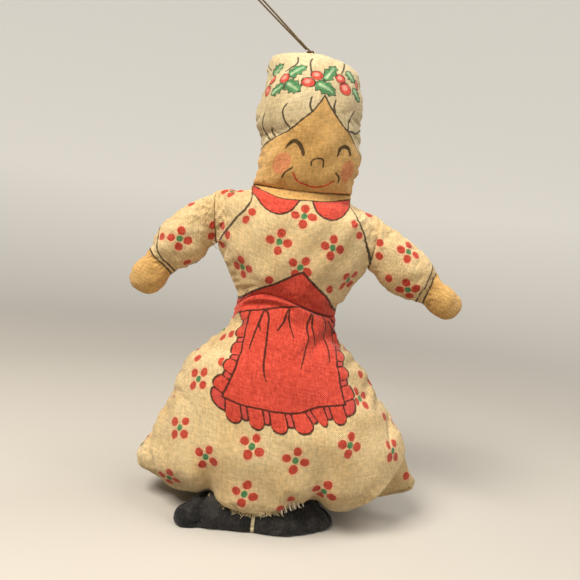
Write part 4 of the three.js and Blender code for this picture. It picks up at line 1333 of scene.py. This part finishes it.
skirtPrint = {
    "flowers": [
        (-23.1, 41.3, 60), (-26.7, 26.9, 62), (-17.5, 21.1, 70), (-4.8, 26.7, 65), (-5.5, 13.1, 80),
        (-29.2, 11.5, 70), (7.2, 23.9, 78), (16.7, 15.0, 70), (22.2, 29.0, 80), (36.4, 26.0, 40),
        (25.5, 41.0, 25),
    ],
    "petals": [
        (-16.3, 55.5), (-19.0, 54.0), (-24.9, 46.7), (-16.8, 47.3), (-32.0, 34.6), (-38.2, 20.2),
        (-15.0, 7.0), (4.6, 9.3), (7.7, 12.1), (25.8, 47.5), (20.6, 54.4), (29.8, 44.6), (34.3, 35.2),
        (38.7, 32.3), (45.0, 15.0), (35.1, 11.5),
    ],
    "band": [
        (-14.5, 62.2), (-10.7, 63.1), (-5.8, 64.2), (-0.2, 65.4), (5.3, 65.9), (9.3, 65.0), (13.1, 64.1),
        (15.9, 61.7),
    ],
    "edge": [
        (-10.8, 62.6), (-11.4, 56.0), (-11.9, 50.0), (-13.0, 45.0), (-15.0, 38.4), (-9.9, 37.3),
        (-4.7, 36.7), (1.4, 36.5), (6.9, 36.9), (12.5, 38.5), (20.0, 39.5), (18.0, 46.0), (16.7, 52.2),
        (16.1, 58.7), (13.1, 62.6),
    ],
    "gathers": [
        [(-6.8, 63.6), (-7.8, 59.0), (-9.3, 52.1)], [(-6.8, 63.6), (-7.4, 59.5), (-6.7, 57.5)],
        [(-6.2, 63.6), (-4.9, 60.6), (-4.5, 49.8), (-4.1, 46.3), (-3.1, 44.2)],
        [(0.2, 64.4), (-0.5, 60.5), (-1.9, 58.2)], [(0.6, 64.7), (1.0, 61.2), (3.0, 56.7)],
        [(7.3, 64.2), (6.6, 60.1), (7.5, 56.3), (6.3, 48.2)], [(7.7, 63.9), (8.3, 59.8), (10.6, 55.4)],
        [(11.4, 63.9), (13.1, 58.7), (14.8, 50.6)],
    ],
    "gatherWidths": (0.7, 0.62, 0.4),
    "corners": (5, 11),  # where the edge turns from side to bottom and up again
    "ruffle": {"lobe": 6.4, "wide": 0.72, "side": 3.9, "low": 5.8, "dip": 0.62, "gather": 0.06},
    "lines": {"rim": 0.34, "fold": 0.26, "edge": 0.3, "band": 0.62},
}

skirtBack = {
    "spacing": 15.0,  # of the flowers
    "band": [(-17, 61.2), (0, 61.8), (17, 61.2)],
    "loop": [(1, 58.5), (5, 60.6), (10, 60.8), (12.5, 58.2), (10.5, 55.2), (5.5, 55.6)],
    "tails": [
        [(0.5, 56.8), (4.2, 50), (5.0, 42), (9.6, 41.2), (8.2, 50), (3.4, 57)],
        [(-0.5, 56.8), (-4.2, 50), (-5.6, 40), (-10.0, 40.2), (-8.2, 50), (-3.4, 57)],
    ],
    "knot": [(-1.9, 59.6), (0, 60.4), (1.9, 59.6), (2.1, 57), (0, 56.2), (-2.1, 57)],
    "crease": [(2.2, 58.4), (5, 58.9), (7.5, 58.8)],
    "creaseWidths": (0.5, 0.3),
    "line": 0.25,
}


def alongOf(panel, line):
    # for each point of the cloth: length along the line of its nearest point, and distance from it
    s, t = panel["s"], panel["t"]
    best, along = np.full(s.shape, nowhere), np.zeros(s.shape)
    start = 0.0
    for a, b in zip(line[:-1], line[1:]):
        way = b - a
        size = np.hypot(*way)
        k = np.clip(((s - a[0]) * way[0] + (t - a[1]) * way[1]) / max(size ** 2, 1e-9), 0, 1)
        far = np.hypot(s - a[0] - k * way[0], t - a[1] - k * way[1])
        nearer = far < best
        best = np.where(nearer, far, best)
        along = np.where(nearer, start + k * size, along)
        start += size
    return along, best, start


def printApron(panel, design):
    ruffle, lines = design["ruffle"], design["lines"]
    flat = onCloth(panel, design["edge"])
    first, last = design["corners"]
    runs = [refined(run, (len(run) * 8,)) for run in (flat[:first], flat[first - 1:last], flat[last - 1:])]
    edge = np.concatenate(runs)
    band = curveOn(panel, design["band"])
    along, far, total = alongOf(panel, edge)
    cloth = areaOf(panel, np.concatenate([edge, edge[-1:] + [[0, 8]], edge[:1] + [[0, 8]]]))
    waistband = beyond(panel, band, flatHigh)
    out = np.where(cloth < 0, -far, far)
    # ruffle: wide lobes and narrow gathers in turn; its reach is larger along the bottom
    lengths = [np.linalg.norm(np.diff(run, axis=0), axis=1).sum() for run in runs]
    start, end = lengths[0], total - lengths[2]
    bottom = smoothStep(along, start - 5, start + 3) * (1 - smoothStep(along, end - 3, end + 5))
    reach = ruffle["side"] + (ruffle["low"] - ruffle["side"]) * bottom
    cell = (end - start) / round((end - start) / ruffle["lobe"])
    phase = ((along - start) / cell + (1 + ruffle["wide"]) / 2) % 1
    wide = phase < ruffle["wide"]
    lobe = np.where(wide, phase / ruffle["wide"], (phase - ruffle["wide"]) / (1 - ruffle["wide"]))
    swell = np.sqrt((1 - (2 * lobe - 1) ** 2).clip(0))
    rim = reach * (ruffle["dip"] + np.where(wide, 1 - ruffle["dip"], ruffle["gather"]) * swell)
    below = waistband > 0
    frill = np.where(below, np.maximum(-out, out - rim), nowhere)
    area = np.minimum(np.minimum(cloth, frill), waistband)
    clear(panel, area - 0.5, "petal", "green")
    lay(panel, "red", area)
    lay(panel, "mauve", np.where(wide, nowhere, frill))
    lay(panel, "ink", np.where(below & (out > 0.1), np.abs(out - rim) - lines["rim"], nowhere))
    fromFold = np.minimum(np.minimum(phase, 1 - phase), np.abs(phase - ruffle["wide"])) * cell
    within = (out > 0) & (out < rim * 0.95) & below
    lay(panel, "ink", np.where(within, fromFold - lines["fold"], nowhere))
    lay(panel, "ink", np.where(below, np.abs(out) - lines["edge"], nowhere))
    lay(panel, "ink", reachOf(panel, band, lines["band"]))
    for gather in design["gathers"]:
        draw(panel, gather, design["gatherWidths"])


def printSkirt(panel, design):
    flowersOn(panel, design["flowers"], seed=61)
    petalsOn(panel, design["petals"])
    printApron(panel, design)


def printSkirtBack(panel, design):
    # flowers, a waistband and a tied bow: two loops, two tails and a knot
    scatterFlowers(panel, design["spacing"], seed=63)
    loops = [[(x * hand, z) for x, z in design["loop"]] for hand in (1, -1)]
    creases = [[(x * hand, z) for x, z in design["crease"]] for hand in (1, -1)]
    areas = [beyond(panel, curveOn(panel, design["band"]), flatHigh)]
    for shape in (*loops, *design["tails"], design["knot"]):
        ring = onCloth(panel, shape + shape[:1])
        areas.append(areaOf(panel, refined(ring, (len(ring) * 6,))[:-1]))
    for area in areas:
        clear(panel, area - 0.4, "petal", "green")
        clear(panel, area, "ink")
        lay(panel, "red", area)
        lay(panel, "ink", np.abs(area) - design["line"])
    for crease in creases:
        draw(panel, crease, design["creaseWidths"])


def addSkirt(settings):
    prints = (partial(printSkirt, design=skirtPrint), partial(printSkirtBack, design=skirtBack))
    grid = partial(uprightGrid, settings)
    pattern = partial(uprightGrid, settings, plain=True)
    for piece in sewBag("skirt", settings, grid, prints, dressCotton, pattern):
        bendAtWaist(piece)


addSkirt(skirtSettings)


# Shoes: one black pad for both feet, with a pale line between them

shoeSettings = {
    "stations": [
        (0, 22.4, 10.8, -2.2, 17.2), (0.9, 23.4, 12.2, -2.2, 18.4), (3.0, 23.9, 12.8, -2.2, 18.4),
        (5.6, 23.8, 12.4, -2.2, 16.6), (8.6, 22.6, 11.0, -2.2, 13.4), (11.0, 18.8, 7.6, -2.2, 8.4),
        (12.4, 13.6, 4.0, -2.2, 4.4), (13, 7.6, 0, -2.2, 0),
    ],
    "power": 0.5,
    "square": 5,
    "seamY": -2,
    "sink": [(6, 22, 0.66), (-8, -22, 0.4)],  # from x, to x, share of the height that goes
    "toes": [(6, 21, 0.62, -13.5), (-11, -24, 0.75, -23.0)],  # the same for the depth, then y of the toe
    "line": (-2.6, 0.95),  # x and width of the pale line between the feet
    "creases": [(-2.6, 2.2, 0.7), (-18.2, 1.5, 1.6), (9.5, 4.0, 0.7)],  # x, width and depth
    "rows": 70,
    "cols": 170,
    "simGrid": (26, 44),
    "ease": 0.012,
    "puckers": (0.05, 4),
    "seed": 81,
    "threads": (0.55, 0.8),  # real threads are about 0.35 mm apart, drawn coarser so that they show
    "dustAndSheen": 5,  # size of the patches of dust and painted grey sheen
    "relief": 0.25,
    # the dust colour is grey dust and lint, and it also stands for painted grey sheen on the black cloth
    "colours": {"dye": "#141416", "dustAndSheen": "#4a4844", "line": "#d8c9a4"},
}


def shoeWarp(u, x, z, side):  # low toes
    return -z * sum(share * smoothStep(x, start, end) for start, end, share in shoeSettings["sink"])


def shoeShape(grid, u, side):
    # the sole thins out to a toe at either end, in front
    x, y, z = np.moveaxis(grid, -1, 0)
    for start, end, thin, toeY in shoeSettings["toes"]:
        y = y + (toeY - y) * thin * smoothStep(x, start, end)
    return np.stack([x, y, z], -1)


shoeSettings.update(warp=shoeWarp, shape=shoeShape)


def blackCotton(settings):
    # black plain-weave cotton, dyed: dark and matt; paler thread tops and random patches, partly dusty fibre
    # and lint and partly painted grey sheen
    material, add = newMaterial("dyed_black_shoe_cotton")
    dye, dustAndSheen, pale = (toLinear(settings["colours"][key]) for key in ("dye", "dustAndSheen", "line"))
    across, up = (uvSpan / size for size in settings["threads"])
    uv = add("Mapping", {"Vector": add("UVMap", uv_map="cloth"), "Scale": (across, up, 1)})
    grainAndThreadShading = add("TexNoise", {"Vector": uv, "Scale": 1.0, "Detail": 3.0})
    place = add("TexCoord").outputs["Object"]
    patches = add("TexNoise", {"Vector": place, "Scale": 1 / (settings["dustAndSheen"] * mm), "Detail": 5.0})
    # paler patches and thread tops: dust and lint, and painted grey sheen as well
    dustAndSheenPatches = add("MapRange", {"Value": patches, "From Min": 0.45, "From Max": 0.75, "To Max": 0.6})
    lintAndSheen = add("MapRange", {"Value": grainAndThreadShading, "From Min": 0.45, "From Max": 0.8, "To Max": 0.5})
    dustLintAndSheen = add("Math", {0: dustAndSheenPatches, 1: lintAndSheen}, operation="ADD", use_clamp=True)
    colour = add("Mix", {0: dustLintAndSheen, 6: dye, 7: dustAndSheen}, data_type="RGBA")
    line = add("Attribute", attribute_name="pale").outputs["Fac"]
    shown = add("MapRange", {"Value": line, "From Min": 0.1, "From Max": -0.1})
    colour = add("Mix", {0: shown, 6: colour, 7: pale}, data_type="RGBA")
    raised = add("Bump", {"Height": grainAndThreadShading, "Strength": 0.8, "Distance": settings["relief"] * mm})
    finish = {"Roughness": 0.85, "Sheen Weight": 0.3, "Sheen Roughness": 0.45, "Specular IOR Level": 0.2}
    shader = add("BsdfPrincipled", {"Base Color": colour, "Normal": raised, **finish})
    add("OutputMaterial", {0: shader})
    return material


def printShoes(panel, settings):
    # creases in the pad, and in front the pale line between the feet
    x, z = panel["grid"][..., 0], panel["grid"][..., 2]
    for at, wide, deep in settings["creases"]:
        panel["relief"] -= deep * bump(x, at, wide) * smoothStep(z, -1, 2)
    if panel["side"] < 0:
        at, wide = settings["line"]
        lay(panel, "pale", np.abs(x - at) - wide / 2)


def addShoes(settings):
    prints = [partial(printShoes, settings=settings)] * 2
    grid = partial(uprightGrid, settings)
    for piece in sewBag("shoe", settings, grid, prints, blackCotton(settings)):
        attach(piece, "skirt")


addShoes(shoeSettings)


# Hand stitches: white ones over the front hem and at the shoulder folds, and frayed threads along the hem

whiteThread = threadCotton("white_sewing_cotton", "#f6f2e6", "#dcd5c2", 0.35)
rawThread = threadCotton("frayed_cream_cotton", "#ecdcb2", "#cdb789", 0.16)

hemSettings = {
    "stitches": (5.2, 11.2, 6),  # from x, to x, how many
    "stitchRadius": 0.19,
    "stitchLay": 0.8,
    "fray": (-17.0, 10.5, 280),
    "frayLength": (0.5, 1.7),
    "frayRadius": 0.065,
    "frayLay": 0.6,
    "swing": 0.6,  # how far the ends stray, in shares of their length
    "clear": 0.25,  # threads stand off the shoes by this
}


def overShoes(paths):
    # threads that would run into the shoes lie on them: y no further back than the nearest point
    # of their front, less a gap
    shoe = uprightGrid(shoeSettings, -1, 40, 80).reshape(-1, 3)
    far = np.square(paths[..., None, 0] - shoe[:, 0]) + np.square(paths[..., None, 2] - shoe[:, 2])
    front = shoe[np.argmin(far, axis=-1), 1] - hemSettings["clear"]
    paths[..., 1] = np.minimum(paths[..., 1], front)
    return paths


def addHemStitches(settings):
    hem = uprightGrid(skirtSettings, -1, skirtSettings["rows"], skirtSettings["cols"])[0]
    # each stitch leans over the edge: from in front of the cloth down on to the shoe
    x = np.linspace(*settings["stitches"])[:, None]
    y, z = (np.interp(x, hem[:, 0], hem[:, axis]) for axis in (1, 2))
    k = np.linspace(0, 1, 12)[None]
    paths = np.stack([x + 0.9 * (k - 0.5), y - 0.45 - 0.3 * np.sin(np.pi * k), z + 1.3 - 2.4 * k], -1)
    radius, lay = settings["stitchRadius"], settings["stitchLay"]
    stitches = threadPiece("hem_stitches", overShoes(paths), radius, 6, lay, (0.2, 1.0, 0.1))
    dressPiece(stitches, whiteThread, ["hem_whip_stitches"], "skirt")
    # frayed warp ends: short, bent, every which way along the raw edge
    rng = np.random.default_rng(91)
    low, high, count = settings["fray"]
    x = rng.uniform(low, high, (count, 1))
    y, z = (np.interp(x, hem[:, 0], hem[:, axis]) for axis in (1, 2))
    length = rng.uniform(*settings["frayLength"], (count, 1))
    aside, out = rng.normal(0, settings["swing"], (count, 2)).T[..., None]
    paths = np.stack([
        x + aside * k ** 1.5 * length,
        y - 0.2 + (out * 0.5 - 0.1) * k ** 1.6 * length,
        z + 0.35 - length * k * (1 - 0.15 * k),
    ], -1)
    radius, lay = settings["frayRadius"], settings["frayLay"]
    threads = threadPiece("hem_fray", overShoes(paths), radius, 4, lay, (0.1, 1.0, 0.05))
    dressPiece(threads, rawThread, body="skirt")


shoulderSettings = {
    "places": (0.03, 0.1),  # shares of the fold, up from the armpit
    "radius": 0.17,
    "lay": 0.8,
}


def addShoulderStitches(name, handed, settings):
    # stitches across the fold near the armpit, drawn tight from front to back
    spine = foldBottom + np.array(settings["places"])[:, None] * (foldTop - foldBottom)
    k = np.linspace(0, np.pi, 14)[None]
    paths = np.stack([
        spine[:, :1] + 0.6 * np.cos(k),
        -foldDepth(spine[:, 2:]) - 0.1 * np.sin(k),
        spine[:, 2:] - 0.6 + 0.5 * np.cos(k),
    ], -1) * np.array([handed, 1, 1])
    radius, lay = settings["radius"], settings["lay"]
    stitches = threadPiece(f"{name}_fold_stitches", paths, radius, 6, lay, (0.2, 0.9, 0.3))
    dressPiece(stitches, whiteThread, [f"{name}_shoulder_stitches"], "bodice")


addHemStitches(hemSettings)
addShoulderStitches("left", 1, shoulderSettings)
addShoulderStitches("right", -1, shoulderSettings)
print("stitches done")


# Stuffing: packed fibre inside each section, lumpy and a little smaller than the cloth round it

fibreSettings = {
    "curl": 1.4,  # size of the curls
    "relief": 0.4,
    "colours": ("#d9d3c4", "#f3efe6"),
    "rows": (0.12, 0.88),  # shares of the cloth's rows between which the fibre lies
    "fill": 0.78,  # share of the cloth's section
    "shoeFill": 0.55,
    "lumps": 0.05,
    "wad": 0.72,  # share of the node's box
    "wadLumps": 0.06,
}


def packedFibre(settings):
    # teased polyester fibre: white, matt and paler at the edges, in soft curls
    material, add = newMaterial("teased_fibre_stuffing")
    place = add("TexCoord").outputs["Object"]
    curl = {"Scale": 1 / (settings["curl"] * mm), "Detail": 4.0, "Distortion": 2.0}
    curls = add("TexNoise", {"Vector": place, **curl})
    low, high = (toLinear(code) for code in settings["colours"])
    colour = add("Mix", {0: curls, 6: low, 7: high}, data_type="RGBA")
    raised = add("Bump", {"Height": curls, "Strength": 0.7, "Distance": settings["relief"] * mm})
    finish = {"Roughness": 0.95, "Sheen Weight": 0.5}
    shader = add("BsdfPrincipled", {"Base Color": colour, "Normal": raised, **finish})
    add("OutputMaterial", {0: shader})
    return material


fibre = packedFibre(fibreSettings)


def fibrePiece(node, body, points):
    wad = gridPiece(node + "_fibre", points, flip=not windsOutward(points), closed=True)
    dressPiece(wad, fibre, [node], body)


def windsOutward(rings):  # whether quads in grid order face away from the axis of the rings
    normal = np.cross(np.gradient(rings, axis=1), np.gradient(rings, axis=0))
    return ((rings - rings.mean(axis=1, keepdims=True)) * normal).sum(axis=2).mean() > 0


def addStuffing(name, body, gridOf, size, seed, fill=fibreSettings["fill"]):
    # the rings of the cloth drawn in towards their middles, with soft lumps, closed to a point at both ends
    front, back = (gridOf(side, *size) for side in (-1, 1))
    rings = np.concatenate([front, back[:, -2:0:-1]], axis=1)
    low, high = (int(len(rings) * share) for share in fibreSettings["rows"])
    rings = rings[low:high]
    centre = rings.mean(axis=1, keepdims=True)
    share = np.linspace(-1, 1, len(rings))[:, None, None]
    turn = np.linspace(0, 2 * np.pi, rings.shape[1], endpoint=False)[None]
    waves = ripples(6 * np.cos(turn) + share[..., 0] * 9, 6 * np.sin(turn), 4, seed)
    shrink = fill * (1 - share ** 8) ** 0.5 * (1 + fibreSettings["lumps"] * waves)[..., None]
    fibrePiece(name + "_stuffing", body, centre + (rings - centre) * shrink)


def addWad(node, body, seed):
    # an egg of fibre within the node's box, then lumps:
    # x, y, z = half sizes times (sin a cos b, sin a sin b, cos a)
    low, high = (np.array(corner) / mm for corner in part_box(node))
    centre, half = (low + high) / 2 - np.array([middle, 0, 0]), (high - low) / 2 * fibreSettings["wad"]
    a = np.linspace(0, np.pi, 28)[:, None]
    b = np.linspace(0, 2 * np.pi, 40, endpoint=False)[None]
    ball = np.stack(np.broadcast_arrays(np.sin(a) * np.cos(b), np.sin(a) * np.sin(b), np.cos(a)), -1)
    x, y, z = np.moveaxis(ball, -1, 0)
    lumps = 1 + fibreSettings["wadLumps"] * ripples(x * 5 + y * 3, z * 5 - y * 2, 2.4, seed)
    fibrePiece(node, body, centre + ball * half * lumps[..., None])


addStuffing("head", "head", partial(uprightGrid, headSettings), size=(50, 30), seed=101)
addStuffing("bodice", "bodice", partial(uprightGrid, bodiceSettings), size=(50, 30), seed=102)
addStuffing("skirt", "skirt", partial(uprightGrid, skirtSettings), size=(50, 40), seed=103)
shoeGrid = partial(uprightGrid, shoeSettings)
addStuffing("shoe", "skirt", shoeGrid, size=(30, 30), seed=104, fill=fibreSettings["shoeFill"])
for name, seed in (("left", 109), ("right", 110)):
    grid = partial(armGrid, armSettings, armSettings[name])
    addStuffing(f"{name}_arm", f"{name}_arm", grid, size=(50, 20), seed=seed)
addWad("waist_wad", "skirt", seed=121)
addWad("neck_wad", "bodice", seed=122)
print("stuffing done")
